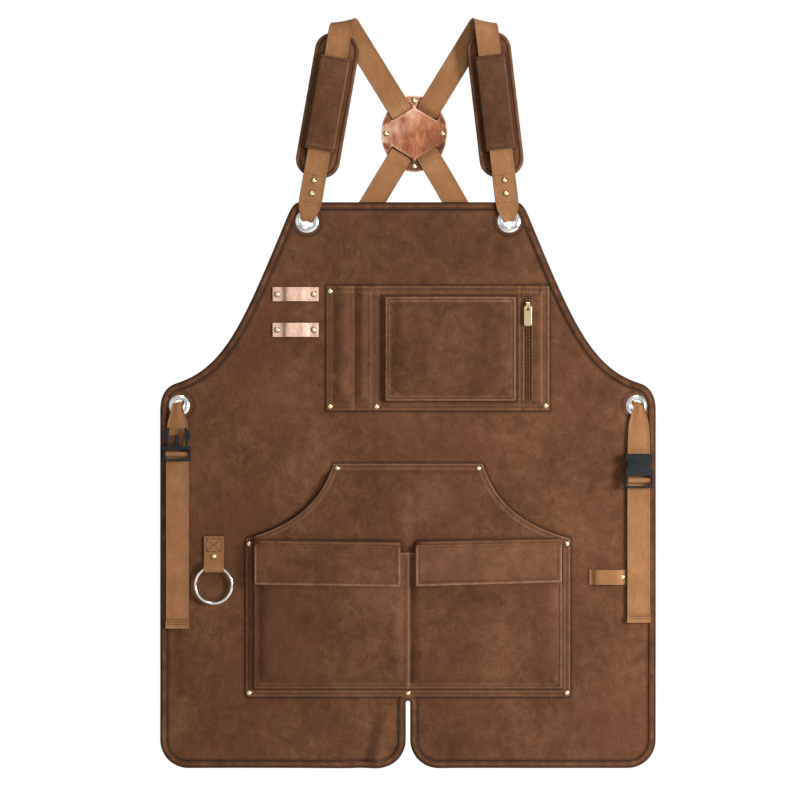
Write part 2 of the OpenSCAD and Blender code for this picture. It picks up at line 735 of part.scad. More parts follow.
// Straps widen below the eyelet that gathers them
function tie_half(z_end) = [[7, tie_top_z], [8.5, tie_top_z - 7], [13, tie_top_z - 22],
    [14.5, tie_top_z - 40], [15.6, tie_top_z - 62], [web_w / 2, z_end + 15],
    [web_w / 2, z_end]];
tail_fold = 13;
module waist_strap(s) {
    z_end = s < 0 ? tie_end[0] : tie_end[1];
    color(web_col) {
        slab(tie_y, tie_t) translate([s * tie_x, 0])
            polygon(concat(tie_half(z_end), mirrored(tie_half(z_end))));
        slab(tie_y - 1.6, 1.6)
            rect(s * tie_x - web_w / 2 - 0.5, s * tie_x + web_w / 2 + 0.5, z_end,
                z_end + tail_fold);
    }
}
module left_waist_strap() {
    waist_strap(-1);
}
module right_waist_strap() {
    waist_strap(1);
}

// ---- Side-release buckle ----
buckle_w = 38;
buckle_back = tie_y - 0.5;
buckle_t = 10;
buckle_mid = buckle_back - buckle_t / 2;
bar_r = 2.2;
bar_z = [-594.5, -630.5];
bight_t = 1.8;
// The strap wraps round the front of the ladder bar
module bight(s) {
    z = s < 0 ? bar_z[0] : bar_z[1];
    color(web_col) difference() {
        union() {
            rod_x(s * tie_x - web_w / 2, s * tie_x + web_w / 2, buckle_mid, z, bar_r + bight_t);
            translate([s * tie_x - web_w / 2, buckle_mid, z - bar_r - bight_t])
                cube([web_w, buckle_back - buckle_mid, 2 * (bar_r + bight_t)]);
        }
        rod_x(s * tie_x - web_w, s * tie_x + web_w, buckle_mid, z, bar_r);
        translate([s * tie_x - web_w, buckle_mid, z - bar_r])
            cube([2 * web_w, buckle_t, 2 * bar_r]);
    }
}
module left_bight() {
    bight(-1);
}
module right_bight() {
    bight(1);
}
// Rails and bars that carry the webbing, below z_top
module ladder(s, z_bar, z_top, z_low) {
    for (m = [-1, 1]) translate([s * tie_x + m * (buckle_w / 2 - 1.2) - 1.2, buckle_back - buckle_t,
        z_low]) cube([2.4, buckle_t - 1, z_top - z_low]);
    rod_x(s * tie_x - buckle_w / 2 + 1, s * tie_x + buckle_w / 2 - 1, buckle_mid, z_bar, bar_r);
    translate([s * tie_x - buckle_w / 2, buckle_back - buckle_t, z_low])
        cube([buckle_w, 3.4, 3]);
}
male_top_z = -589;
male_low_z = -604;
prong_l = 27;
prong_w = 5;
prong_x = 13.2;
module male_buckle() {
    color(black_col) {
        ladder(-1, bar_z[0], male_top_z, male_low_z);
        slab(buckle_back - buckle_t + 0.6, 8) rect(-tie_x - buckle_w / 2, -tie_x + buckle_w / 2,
            male_top_z, male_top_z + 5);
        slab(buckle_mid - 2, 4) rect(-tie_x - 3.2, -tie_x + 3.2, male_top_z + 5,
            male_top_z + prong_l - 6);
    }
}
// A springy arm with a barbed head; m is -1 for the outer one and 1 for the inner one
module prong(m) {
    z0 = male_top_z + 5.3;
    color(black_col) slab(buckle_mid - 2.2, 4.4) translate([-tie_x + m * prong_x, z0])
        polygon([[-m * 1.6, 0], [m * 1.8, 0], [m * 2.4, 6], [m * 5, 11], [m * 5.2, 16],
            [m * 2.6, 22], [-m * 1, prong_l - 1], [-m * 3.2, prong_l - 2], [-m * 2.2, 18],
            [-m * 1.4, 10]]);
}
module outer_prong() {
    prong(-1);
}
module inner_prong() {
    prong(1);
}
female_top_z = -594;
female_base_z = -624;
female_low_z = -641;
mouth_w = 27;
mouth_t = 6;
module female_buckle() {
    color(black_col) difference() {
        union() {
            slab(buckle_back - buckle_t, buckle_t)
                translate([tie_x, (female_top_z + female_base_z) / 2])
                    polygon(rounded(buckle_w, female_top_z - female_base_z, 4));
            ladder(1, bar_z[1], female_base_z + 4, female_low_z);
        }
        slab(buckle_mid - mouth_t / 2, mouth_t) rect(tie_x - mouth_w / 2, tie_x + mouth_w / 2,
            female_base_z + 4, female_top_z + 1);
        // Side windows where the prongs spring out
        slab(buckle_mid - mouth_t / 2, mouth_t) for (s = [-1, 1])
            rect(tie_x + s * 17 - 4, tie_x + s * 17 + 4, female_base_z + 9, female_base_z + 21);
        slab(buckle_back - buckle_t - 1, buckle_t + 2) for (s = [-1, 1])
            translate([tie_x + s * (buckle_w / 2 + 2), female_base_z + 15]) circle(r = 6);
    }
}

canvas_panel();
edge_binding();
bib_eyelets();
bib_washers();
waist_eyelets();
waist_washers();
left_shoulder_strap();
right_shoulder_strap();
strap_rivets();
cross_plate_front();
cross_plate_back();
cross_plate_rivets();
left_pad_cover();
left_pad_foam();
left_pad_binding();
left_pad_sleeve();
right_pad_cover();
right_pad_foam();
right_pad_binding();
right_pad_sleeve();
upper_tool_loop();
lower_tool_loop();
tool_loop_rivets();
pen_pocket();
chest_patch();
inset_pocket();
chest_rivets();
zip_tapes();
zip_teeth();
zip_stops();
zip_slider();
zip_pull();
hand_pocket();
lower_pocket();
flap_seams();
left_flap();
right_flap();
pocket_rivets();
ring_tab();
ring_tab_rivet();
towel_ring();
hammer_loop();
hammer_loop_rivet();
left_waist_strap();
right_waist_strap();
left_bight();
right_bight();
male_buckle();
outer_prong();
inner_prong();
female_buckle();
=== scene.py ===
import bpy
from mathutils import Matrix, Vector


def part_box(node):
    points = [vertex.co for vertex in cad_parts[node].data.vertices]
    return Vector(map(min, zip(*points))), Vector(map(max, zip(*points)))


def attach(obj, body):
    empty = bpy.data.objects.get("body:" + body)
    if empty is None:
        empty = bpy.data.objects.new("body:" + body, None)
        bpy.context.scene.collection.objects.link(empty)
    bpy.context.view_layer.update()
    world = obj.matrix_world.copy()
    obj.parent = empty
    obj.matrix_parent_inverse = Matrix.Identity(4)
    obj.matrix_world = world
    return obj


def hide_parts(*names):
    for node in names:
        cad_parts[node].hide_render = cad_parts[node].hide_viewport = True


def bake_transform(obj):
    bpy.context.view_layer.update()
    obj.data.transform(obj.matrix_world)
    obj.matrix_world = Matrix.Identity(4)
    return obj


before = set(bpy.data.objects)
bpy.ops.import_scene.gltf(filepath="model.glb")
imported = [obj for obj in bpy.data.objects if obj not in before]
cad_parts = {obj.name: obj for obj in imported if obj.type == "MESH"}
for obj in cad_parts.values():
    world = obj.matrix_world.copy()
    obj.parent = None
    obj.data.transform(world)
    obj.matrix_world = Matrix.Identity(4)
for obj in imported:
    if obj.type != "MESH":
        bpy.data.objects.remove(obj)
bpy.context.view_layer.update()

import math

import bmesh
import bpy
import numpy as np
from mathutils import Matrix, Vector, noise
from mathutils.geometry import delaunay_2d_cdt

# Lengths are in millimetres until a mesh is made. y is negative towards the front.
MM = 0.001
ROOT = "apron"


def box_mm(node):
    lo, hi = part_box(node)
    return np.array(lo) * 1000, np.array(hi) * 1000


class Rect:
    """A node's outline as seen from the front."""

    def __init__(self, node):
        lo, hi = box_mm(node)
        self.x0, self.x1, self.z0, self.z1 = lo[0], hi[0], lo[2], hi[2]
        self.sides = (self.x0, self.x1, self.z0, self.z1)
        self.width, self.height = hi[0] - lo[0], hi[2] - lo[2]
        self.mid_x, self.mid_z = (lo[0] + hi[0]) / 2, (lo[2] + hi[2]) / 2

    def strips(self, left, right, low, top=None):
        """Strips along its edges, each of its own width."""
        x0, x1, z0, z1 = self.sides
        out = [(x0, x0 + left, z0, z1), (x1 - right, x1, z0, z1), (x0, x1, z0, z0 + low)]
        return out if top is None else out + [(x0, x1, z1 - top, z1)]


def unit(v):
    v = np.asarray(v, float)
    return v / np.linalg.norm(v)


def smooth(t):
    t = np.clip(t, 0, 1)
    return t * t * (3 - 2 * t)


def bell(x, centre, width):
    return np.exp(-(((x - centre) / width) ** 2))


def wob(P, size, seed=0.0):
    """Smooth noise, about -1 to 1, over points in a plane."""
    return np.array([noise.noise(Vector((p[0] / size, p[1] / size, seed))) for p in P])


# ---- Materials ----
class Look:
    """A node material that reads two mesh attributes: rest (mm) and tone (-1 dark to 1 light), for wear and
    painted light and shade.
    """

    def __init__(self, name, slot, **fixed):
        self.slot = slot
        self.m = bpy.data.materials.new(name)
        self.m.use_nodes = True
        self.nt = self.m.node_tree
        self.bsdf = self.nt.nodes["Principled BSDF"]
        for key, value in fixed.items():
            self.bsdf.inputs[key.replace("_", " ")].default_value = value
        self.rest = self.attribute("rest", "Vector")
        self.tone = self.attribute("tone", "Fac")

    def add(self, kind, ins=(), out=0, **props):
        n = self.nt.nodes.new("ShaderNode" + kind)
        for key, value in props.items():
            setattr(n, key, value)
        for key, value in dict(ins).items():
            socket = n.inputs[key]
            if isinstance(value, bpy.types.NodeSocket):
                self.nt.links.new(value, socket)
            else:
                socket.default_value = value
        return n.outputs[out]

    def attribute(self, name, out):
        return self.add("Attribute", attribute_name=name, out=out)

    def math(self, op, a, b=0.0, c=0.0):
        return self.add("Math", {0: a, 1: b, 2: c}, operation=op)

    def noise(self, size, detail=3.0, rough=0.5, vec=None, distortion=0.0):
        return self.add("TexNoise", {"Vector": vec or self.rest, "Scale": 1.0 / size, "Detail": detail,
                                     "Roughness": rough, "Distortion": distortion})

    def stretched(self, x, y, z, turn=0.0):
        return self.add("Mapping", {"Vector": self.rest, "Scale": (x, y, z), "Rotation": (0, turn, 0)})

    def split(self, out):
        return self.add("SeparateXYZ", {0: self.rest}, out=out)

    def ramp(self, fac, *stops):
        n = self.nt.nodes.new("ShaderNodeValToRGB")
        self.nt.links.new(fac, n.inputs[0])
        while len(n.color_ramp.elements) < len(stops):
            n.color_ramp.elements.new(0.5)
        for e, (at, colour) in zip(n.color_ramp.elements, stops):
            e.position = at
            e.color = (*colour, 1) if hasattr(colour, "__len__") else (colour, colour, colour, 1)
        return n.outputs[0]

    def mix(self, fac, a, b):
        def rgb(c):
            return c if isinstance(c, bpy.types.NodeSocket) else (*c, 1)
        return self.add("Mix", {0: fac, 6: rgb(a), 7: rgb(b)}, out=2, data_type="RGBA")

    def clamp(self, value, gain=1.0):
        return self.add("Math", {0: value, 1: gain}, operation="MULTIPLY", use_clamp=True)

    def total(self, *terms):
        """A weighted sum of (value, weight) terms."""
        (value, weight), others = terms[0], terms[1:]
        if not others:
            return self.math("MULTIPLY", value, weight)
        return self.math("MULTIPLY_ADD", value, weight, self.total(*others))

    def wear_and_painted_light(self, colour, light, dark, size=2.5):
        """Colour lightened where tone is above 0 and darkened below, broken up by noise: wear and painted light
        and shade.
        """
        patchy = self.math("MULTIPLY_ADD", self.noise(size, 3), 1.3, 0.25)
        up = self.math("MULTIPLY", self.clamp(self.tone), patchy)
        return self.mix(self.clamp(self.tone, -1.0), self.mix(self.clamp(up), colour, light), dark)

    def finish(self, colour, rough, height):
        """Joins the colour, the roughness and a bump of height millimetres to the shader."""
        bump = self.add("Bump", {"Height": height, "Strength": 1.0, "Distance": MM})
        for key, value in (("Base Color", colour), ("Roughness", rough), ("Normal", bump)):
            self.nt.links.new(value, self.bsdf.inputs[key])
        return self


def canvas_look(name, slot, tint=(1.0, 1.0, 1.0)):
    """Waxed canvas: cloudy brown with a fine weave, cracked wax, edges lighter with wear, and painted light and
    shade from the tone.
    """
    k = Look(name, slot, Sheen_Weight=0.03, Sheen_Roughness=0.5, Specular_IOR_Level=0.16)

    def c(*rgb):
        return tuple(v * t for v, t in zip(rgb, tint))
    big, mid = k.noise(95, 4, 0.6), k.noise(17, 5, 0.62, distortion=0.4)
    weft, warp = [k.noise(0.8, 2, 0.5, k.stretched(*along)) for along in ((0.09, 1, 1), (1, 1, 0.09))]
    fine = k.math("MULTIPLY", k.math("ADD", weft, warp), 0.5)
    body = k.total((big, 0.40), (mid, 0.28), (fine, 0.32))
    base = k.ramp(body, (0.37, c(0.060, 0.0218, 0.0066)), (0.5, c(0.108, 0.0412, 0.0138)),
                  (0.63, c(0.172, 0.074, 0.030)))
    red = k.ramp(k.noise(130, 3), (0.48, 0.0), (0.66, 0.45))
    base = k.mix(red, base, c(0.122, 0.040, 0.0175))
    # Pale scuffs where the wax has cracked
    ridge = k.math("ABSOLUTE", k.math("SUBTRACT", k.noise(34, 5, 0.66, distortion=0.5), 0.5))
    scuff = k.ramp(ridge, (0.0, 0.24), (0.016, 0.0))
    scuff = k.math("MULTIPLY", scuff, k.ramp(k.noise(55, 3), (0.5, 0.0), (0.64, 1.0)))
    base = k.mix(scuff, base, c(0.25, 0.128, 0.068))
    colour = k.wear_and_painted_light(base, c(0.30, 0.148, 0.076), c(0.018, 0.0065, 0.003))
    x, z = [k.math("MULTIPLY", k.split(axis), 2 * math.pi / yarn) for axis, yarn in ((0, 0.9), (2, 1.1))]
    weave = k.math("MULTIPLY", k.math("SINE", x), k.math("SINE", z))
    height = k.total((weave, 0.07), (k.noise(5, 4, 0.6), 0.40), (mid, 1.9), (fine, 0.35))
    rough = k.ramp(mid, (0.35, 0.78), (0.7, 0.58))
    return k.finish(colour, rough, height)


def webbing_look(name, slot, base, light, dark, thread=1.5):
    """Twill webbing: rest is (across, along, offset) in mm."""
    k = Look(name, slot, Sheen_Weight=0.05, Sheen_Roughness=0.5, Specular_IOR_Level=0.15)
    u, v = k.split(0), k.split(1)
    zig = k.math("PINGPONG", u, 4.0)
    slope = k.math("ADD", v, k.math("MULTIPLY", zig, 1.0))
    twill = k.math("SINE", k.math("MULTIPLY", slope, 2 * math.pi / thread))
    rib = k.math("SINE", k.math("MULTIPLY", u, 2 * math.pi / 1.3))
    patch = k.total((k.noise(60, 3, 0.5), 0.45), (k.noise(6, 3, 0.6, k.stretched(1, 0.35, 1)), 0.25),
                    (k.noise(1.5, 2), 0.3))
    colour = k.ramp(patch, (0.32, tuple(c * 0.74 for c in base)), (0.5, base), (0.72, light))
    yarn = k.total((twill, 0.5), (rib, 0.25))
    colour = k.mix(k.clamp(k.math("MULTIPLY_ADD", yarn, -0.25, 0.12)), colour, dark)
    colour = k.wear_and_painted_light(colour, light, dark)
    height = k.total((yarn, 0.16), (k.noise(9, 3), 0.6))
    return k.finish(colour, k.ramp(patch, (0.3, 0.9), (0.7, 0.75)), height)


def plate_look():
    """Glazed leather with dark and pale marbling."""
    k = Look("glazed_leather", "plate_leather", Coat_Weight=0.4, Coat_Roughness=0.14)
    vec = k.stretched(1.0, 1.0, 0.38, 0.5)
    marble = k.total((k.noise(13, 4, 0.6, vec, 0.7), 0.7), (k.noise(3.0, 4, 0.65, vec), 0.3))
    base = k.ramp(marble, (0.34, (0.135, 0.031, 0.010)), (0.46, (0.28, 0.078, 0.028)),
                  (0.56, (0.42, 0.150, 0.062)), (0.70, (0.60, 0.30, 0.165)))
    colour = k.wear_and_painted_light(base, (0.86, 0.56, 0.40), (0.060, 0.015, 0.007), 6)
    height = k.total((k.noise(1.2, 2), 0.10), (marble, 0.4))
    return k.finish(colour, k.ramp(marble, (0.35, 0.20), (0.7, 0.32)), height)


def hide_look():
    """Pale vegetable-tanned leather."""
    k = Look("pale_leather", "loop_leather", Specular_IOR_Level=0.35)
    grain = k.total((k.noise(9, 5, 0.6, k.stretched(0.5, 1, 1)), 0.7), (k.noise(1.0, 2), 0.3))
    base = k.ramp(grain, (0.38, (0.48, 0.255, 0.168)), (0.5, (0.67, 0.415, 0.305)), (0.62, (0.81, 0.585, 0.46)))
    colour = k.wear_and_painted_light(base, (0.82, 0.60, 0.46), (0.20, 0.085, 0.05))
    pores = k.add("TexVoronoi", {"Vector": k.rest, "Scale": 1.3})
    height = k.total((pores, 0.10), (grain, 0.35))
    return k.finish(colour, k.ramp(grain, (0.4, 0.6), (0.6, 0.48)), height)


def metal_look(name, slot, base, wear_and_painted_light, dark, rough):
    """Plated or cast metal with fine scratches."""
    k = Look(name, slot, Metallic=1.0)
    streak = k.noise(1.2, 4, 0.6, k.stretched(1, 1, 0.3))
    colour = k.ramp(k.noise(5, 3), (0.38, tuple(c * 0.86 for c in base)), (0.6, base))
    colour = k.wear_and_painted_light(colour, wear_and_painted_light, dark, 1.5)
    roughness = k.ramp(streak, (0.35, rough), (0.7, rough + 0.14))
    return k.finish(colour, roughness, k.math("MULTIPLY", streak, 0.05))


def plastic_look():
    k = Look("black_acetal", "black_plastic", Specular_IOR_Level=0.30)
    speck = k.noise(0.7, 3)
    colour = k.ramp(k.noise(7, 3), (0.35, (0.0045, 0.0048, 0.005)), (0.65, (0.011, 0.012, 0.013)))
    colour = k.wear_and_painted_light(colour, (0.16, 0.17, 0.17), (0.004, 0.004, 0.004))
    return k.finish(colour, k.ramp(speck, (0.35, 0.34), (0.65, 0.48)), k.math("MULTIPLY", speck, 0.05))


def thread_look(name, slot, base):
    k = Look(name, slot, Sheen_Weight=0.03)
    twist = k.noise(0.8, 2)
    colour = k.ramp(twist, (0.35, tuple(c * 0.6 for c in base)), (0.65, base))
    return k.finish(colour, k.ramp(twist, (0.3, 0.75), (0.7, 0.55)), k.math("MULTIPLY", twist, 0.1))


CANVAS = canvas_look("waxed_canvas", "canvas")
CANVAS_DARK = canvas_look("waxed_canvas_edge", "edge_canvas", (0.86, 0.78, 0.70))
WEB = webbing_look("cotton_webbing", "webbing",
                   (0.325, 0.150, 0.060), (0.45, 0.235, 0.108), (0.10, 0.038, 0.014))
TAPE = webbing_look("zip_tape_weave", "zip_tape",
                    (0.082, 0.034, 0.016), (0.13, 0.060, 0.030), (0.012, 0.006, 0.004), 0.9)
LEATHER = plate_look()
HIDE = hide_look()
NICKEL = metal_look("nickel_plate", "nickel",
                    (0.86, 0.86, 0.84), (0.95, 0.95, 0.93), (0.20, 0.19, 0.18), 0.10)
BRASS = metal_look("polished_brass", "brass",
                   (0.90, 0.68, 0.33), (0.98, 0.88, 0.62), (0.10, 0.055, 0.022), 0.20)
ANTIQUE = metal_look("antique_brass", "brass",
                     (0.15, 0.088, 0.045), (0.45, 0.30, 0.14), (0.03, 0.018, 0.010), 0.34)
PLASTIC = plastic_look()
THREAD = thread_look("brown_thread", "edge_canvas", (0.150, 0.068, 0.031))
THREAD_TAN = thread_look("tan_thread", "webbing", (0.085, 0.034, 0.014))


# ---- Mesh makers ----
def make(name, verts, faces, look, body=ROOT, nodes=(), rest=None, tone=None, fix=True):
    """A piece from millimetre vertices. fix turns its faces outwards."""
    verts = np.asarray(verts, float)
    me = bpy.data.meshes.new(name)
    me.from_pydata((verts * MM).tolist(), [], [[int(i) for i in f] for f in faces])
    rest = np.asarray(verts if rest is None else rest, np.float32)
    me.attributes.new("rest", "FLOAT_VECTOR", "POINT").data.foreach_set("vector", rest.ravel())
    tone = np.zeros(len(verts)) if tone is None else np.broadcast_to(tone, len(verts))
    me.attributes.new("tone", "FLOAT", "POINT").data.foreach_set("value", tone.astype(np.float32))
    if fix:
        bm = bmesh.new()
        bm.from_mesh(me)
        bmesh.ops.recalc_face_normals(bm, faces=bm.faces)
        bm.to_mesh(me)
        bm.free()
    me.polygons.foreach_set("use_smooth", [True] * len(me.polygons))
    me.materials.append(look.m)
    ob = bpy.data.objects.new(name, me)
    bpy.context.scene.collection.objects.link(ob)
    if nodes:
        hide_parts(*nodes)
    if body:
        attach(ob, body)
    return ob


class Part:
    """Several closed shapes that make one piece."""

    def __init__(self):
        self.v, self.f, self.rest, self.tone = [], [], [], []

    def add(self, verts, faces, rest=None, tone=0.0):
        base = len(self.v)
        verts = np.asarray(verts, float)
        self.v += verts.tolist()
        self.f += [[base + i for i in f] for f in faces]
        self.rest += (verts if rest is None else np.asarray(rest, float)).tolist()
        self.tone += np.broadcast_to(tone, len(verts)).tolist()

    def build(self, name, look, body=ROOT, nodes=(), place=None):
        v = np.array(self.v)
        if place is not None:
            v = place(v)
        return make(name, v, self.f, look, body, nodes, self.rest, self.tone)


def inside(P, loops):
    """Even-odd test of points against closed loops."""
    hit = np.zeros(len(P), bool)
    for loop in loops:
        for (x0, z0), (x1, z1) in zip(loop, np.roll(loop, -1, 0)):
            cross = (z0 > P[:, 1]) != (z1 > P[:, 1])
            with np.errstate(divide="ignore", invalid="ignore"):
                at = x0 + (P[:, 1] - z0) * (x1 - x0) / (z1 - z0)
            hit ^= cross & (P[:, 0] < at)
    return hit


def line_dist(P, loops):
    """Distance from points to closed loops."""
    out = np.full(len(P), 1e9)
    for loop in loops:
        for a, b in zip(loop, np.roll(loop, -1, 0)):
            ab = b - a
            t = np.clip(((P - a) @ ab) / max(ab @ ab, 1e-9), 0, 1)
            out = np.minimum(out, np.hypot(*(P - a - t[:, None] * ab).T))
    return out


def rect_dist(P, rects):
    """Distance from points to the nearest of some rectangles (x0, x1, z0, z1)."""
    out = np.full(len(P), 1e9)
    for x0, x1, z0, z1 in rects:
        dx = np.maximum(np.maximum(x0 - P[:, 0], P[:, 0] - x1), 0)
        dz = np.maximum(np.maximum(z0 - P[:, 1], P[:, 1] - z1), 0)
        out = np.minimum(out, np.hypot(dx, dz))
    return out


def refine(loop, pitch):
    """A closed loop with a point at least every pitch."""
    out = []
    for a, b in zip(loop, np.roll(loop, -1, 0)):
        n = max(1, int(math.ceil(np.linalg.norm(b - a) / pitch)))
        out += [a + (b - a) * i / n for i in range(n)]
    return np.array(out)


def area_of(loop):
    x, z = np.asarray(loop).T
    return 0.5 * np.sum(x * np.roll(z, -1) - np.roll(x, -1) * z)


def anticlockwise(loop):
    return loop if area_of(loop) > 0 else loop[::-1]


def inset(loop, d):
    """Points of a loop moved d to its left, with mitred corners."""
    before, after = unit_rows(loop - np.roll(loop, 1, 0)), unit_rows(np.roll(loop, -1, 0) - loop)
    n = unit_rows(before + after)
    left = np.stack([-n[:, 1], n[:, 0]], 1)
    cosine = np.clip(np.abs(np.sum(n * after, 1)), 0.5, 1)
    return loop + left * (d / cosine)[:, None]


def unit_rows(a):
    return a / np.maximum(np.linalg.norm(a, axis=1), 1e-9)[:, None]


def cloth_mesh(loops, front, thick, rings=(0.5, 2, 3.2, 4.4, 6, 8, 9.5, 11, 14), pitch=8.0, edge=4.0, tone=None,
               extra=()):
    """A closed sheet over the first loop, less the others. front(P, d) is the front's y, and d the distance
    from the edge."""
    loops = [np.asarray(l, float) for l in loops]
    loops = [l if (area_of(l) > 0) == (i == 0) else l[::-1] for i, l in enumerate(loops)]
    fine = [refine(l, edge) for l in loops]
    pts, edges = [], []
    for l in fine:
        edges += [(len(pts) + i, len(pts) + (i + 1) % len(l)) for i in range(len(l))]
        pts += l.tolist()
    more = [np.zeros((0, 2))]
    for d in rings:
        for l in fine:
            q = inset(l, d)
            q = q[inside(q, fine)]
            more.append(q[line_dist(q, fine) > 0.9 * d])
    lo, hi = fine[0].min(0), fine[0].max(0)
    gx, gz = np.meshgrid(np.arange(lo[0] + pitch / 2, hi[0], pitch),
                         np.arange(lo[1] + pitch / 2, hi[1], pitch * 0.87))
    gx = gx + (np.arange(gx.shape[0]) % 2)[:, None] * pitch / 2
    grid = np.stack([gx.ravel(), gz.ravel()], 1)
    grid = grid[inside(grid, fine)]
    more.append(grid[line_dist(grid, fine) > rings[-1] + pitch * 0.5])
    for e in extra:
        e = np.asarray(e, float)
        e = e[inside(e, fine)]
        more.append(e[line_dist(e, fine) > 0.4])
    pts += np.concatenate(more).tolist()
    co, _, tris = delaunay_2d_cdt([Vector(p) for p in pts], edges, [], 0, 1e-4)[:3]
    P = np.array([tuple(c) for c in co])
    tris = np.array([list(t) for t in tris])
    mid = P[tris].mean(1)
    tris = tris[inside(mid, fine)]
    a, b, c = P[tris[:, 0]], P[tris[:, 1]], P[tris[:, 2]]
    flip = np.cross(b - a, c - a) < 0
    tris[flip] = tris[flip][:, ::-1]
    keep = np.unique(tris)
    index = np.full(len(P), -1)
    index[keep] = np.arange(len(keep))
    P, tris = P[keep], index[tris]
    d = line_dist(P, fine)
    y = front(P, d)
    t = thick(P, d) if callable(thick) else np.full(len(P), float(thick))
    round_off = (1 - smooth(d / 0.5)) * 0.3 * t
    n = len(P)
    verts = np.concatenate([np.stack([P[:, 0], y + round_off, P[:, 1]], 1),
                            np.stack([P[:, 0], y + t - round_off, P[:, 1]], 1)])
    sides = {}
    for i, j, k in tris.tolist():
        for e in ((i, j), (j, k), (k, i)):
            if e[::-1] in sides:
                del sides[e[::-1]]
            else:
                sides[e] = True
    faces = tris.tolist() + [[k + n for k in tri[::-1]] for tri in tris.tolist()]
    faces += [[j, i, i + n, j + n] for i, j in sides]
    shade = np.zeros(n) if tone is None else tone(P, d)
    return verts, faces, np.concatenate([shade, np.minimum(shade, 0) * 0.5])


def cloth(name, loops, front, thick, look=CANVAS, body=ROOT, nodes=(), **how):
    v, f, shade = cloth_mesh(loops, front, thick, **how)
    return make(name, v, f, look, body, nodes, tone=shade, fix=False)


def bezier(p, n):
    p = np.asarray(p, float)
    t = np.linspace(0, 1, n + 1)[:, None]
    u = 1 - t
    return u**3 * p[0] + 3 * u * u * t * p[1] + 3 * u * t * t * p[2] + t**3 * p[3]


def arc(cx, cz, r, a0, a1, n):
    a = np.radians(np.linspace(a0, a1, n + 1))
    return np.stack([cx + r * np.cos(a), cz + r * np.sin(a)], 1)


def both_halves(half):
    half = np.asarray(half, float)
    return np.concatenate([half, (half * [-1, 1])[::-1]])


def rect_loop(x0, x1, z0, z1, r=0.0, steps=6):
    """A rectangle, with round corners where r is given."""
    if not r:
        return np.array([[x0, z0], [x1, z0], [x1, z1], [x0, z1]], float)
    return np.concatenate([arc(cx, cz, r, a, a + 90, steps) for cx, cz, a in (
        (x1 - r, z0 + r, 270), (x1 - r, z1 - r, 0), (x0 + r, z1 - r, 90), (x0 + r, z0 + r, 180))])


def tube(n, m, loop=False):
    """Faces of n rings of m points: joined into a loop, or capped at both ends."""
    faces = []
    for i in range(n if loop else n - 1):
        a, b = i * m, (i + 1) % n * m
        faces += [[a + k, a + (k + 1) % m, b + (k + 1) % m, b + k] for k in range(m)]
    return faces if loop else faces + [list(range(m)), list(range((n - 1) * m, n * m))[::-1]]


def lathe(profile, centre, steps=28, closed=False):
    """Turned about an axis towards the front. profile is (radius, height), and height is towards the front."""
    cx, cy, cz = centre
    verts, rows = [], []
    for r, h in profile:
        if r < 1e-6:
            rows.append([len(verts)])
            verts.append([cx, cy - h, cz])
        else:
            rows.append([len(verts) + i for i in range(steps)])
            angles = [2 * math.pi * i / steps for i in range(steps)]
            verts += [[cx + r * math.cos(a), cy - h, cz + r * math.sin(a)] for a in angles]
    faces = []
    pairs = list(zip(rows, rows[1:])) + ([(rows[-1], rows[0])] if closed else [])
    for a, b in pairs:
        for i in range(steps):
            j = (i + 1) % steps
            if len(a) == 1:
                faces.append([a[0], b[i], b[j]])
            elif len(b) == 1:
                faces.append([a[i], b[0], a[j]])
            else:
                faces.append([a[i], b[i], b[j], a[j]])
    return verts, faces


def spline(points, step):
    """Points of a Catmull-Rom curve, about step apart, through rows that start with a place."""
    p = np.asarray(points, float)
    out = []
    for i in range(len(p) - 1):
        p1, p2 = p[i], p[i + 1]
        p0 = p[i - 1] if i else 2 * p1 - p2
        p3 = p[i + 2] if i + 2 < len(p) else 2 * p2 - p1
        d = [max(np.linalg.norm((b - a)[:3]), 1e-6) ** 0.5 for a, b in ((p0, p1), (p1, p2), (p2, p3))]
        m1 = (p1 - p0) / d[0] - (p2 - p0) / (d[0] + d[1]) + (p2 - p1) / d[1]
        m2 = (p2 - p1) / d[1] - (p3 - p1) / (d[1] + d[2]) + (p3 - p2) / d[2]
        m1, m2 = m1 * d[1], m2 * d[1]
        k = max(1, int(round(np.linalg.norm((p2 - p1)[:3]) / step)))
        for j in range(k):
            t = j / k
            out.append((2 * t**3 - 3 * t**2 + 1) * p1 + (t**3 - 2 * t**2 + t) * m1
                       + (3 * t**2 - 2 * t**3) * p2 + (t**3 - t**2) * m2)
    return np.array(out + [p[-1]])


# Across a webbing: share of the half width, share of the half thickness, and tone. The tone is painted shade on
# the rounded edges and in the groove inside the selvedge, and lighter on the selvedge ridge.
WEB_SECTION = [
    (-1.0, 0.0, -0.7), (-0.985, 0.75, -0.6), (-0.95, 1.05, -0.15), (-0.915, 0.98, 0.12), (-0.87, 0.78, -0.12),
    (-0.62, 0.86, 0.0), (-0.3, 0.9, 0.0), (0.0, 0.9, 0.0), (0.3, 0.9, 0.0), (0.62, 0.86, 0.0),
    (0.87, 0.78, -0.12), (0.915, 0.98, 0.12), (0.95, 1.05, -0.15), (0.985, 0.75, -0.6), (1.0, 0.0, -0.7)]
WEB_LOOP = WEB_SECTION + [(u, -v, c) for u, v, c in WEB_SECTION[-2:0:-1]]


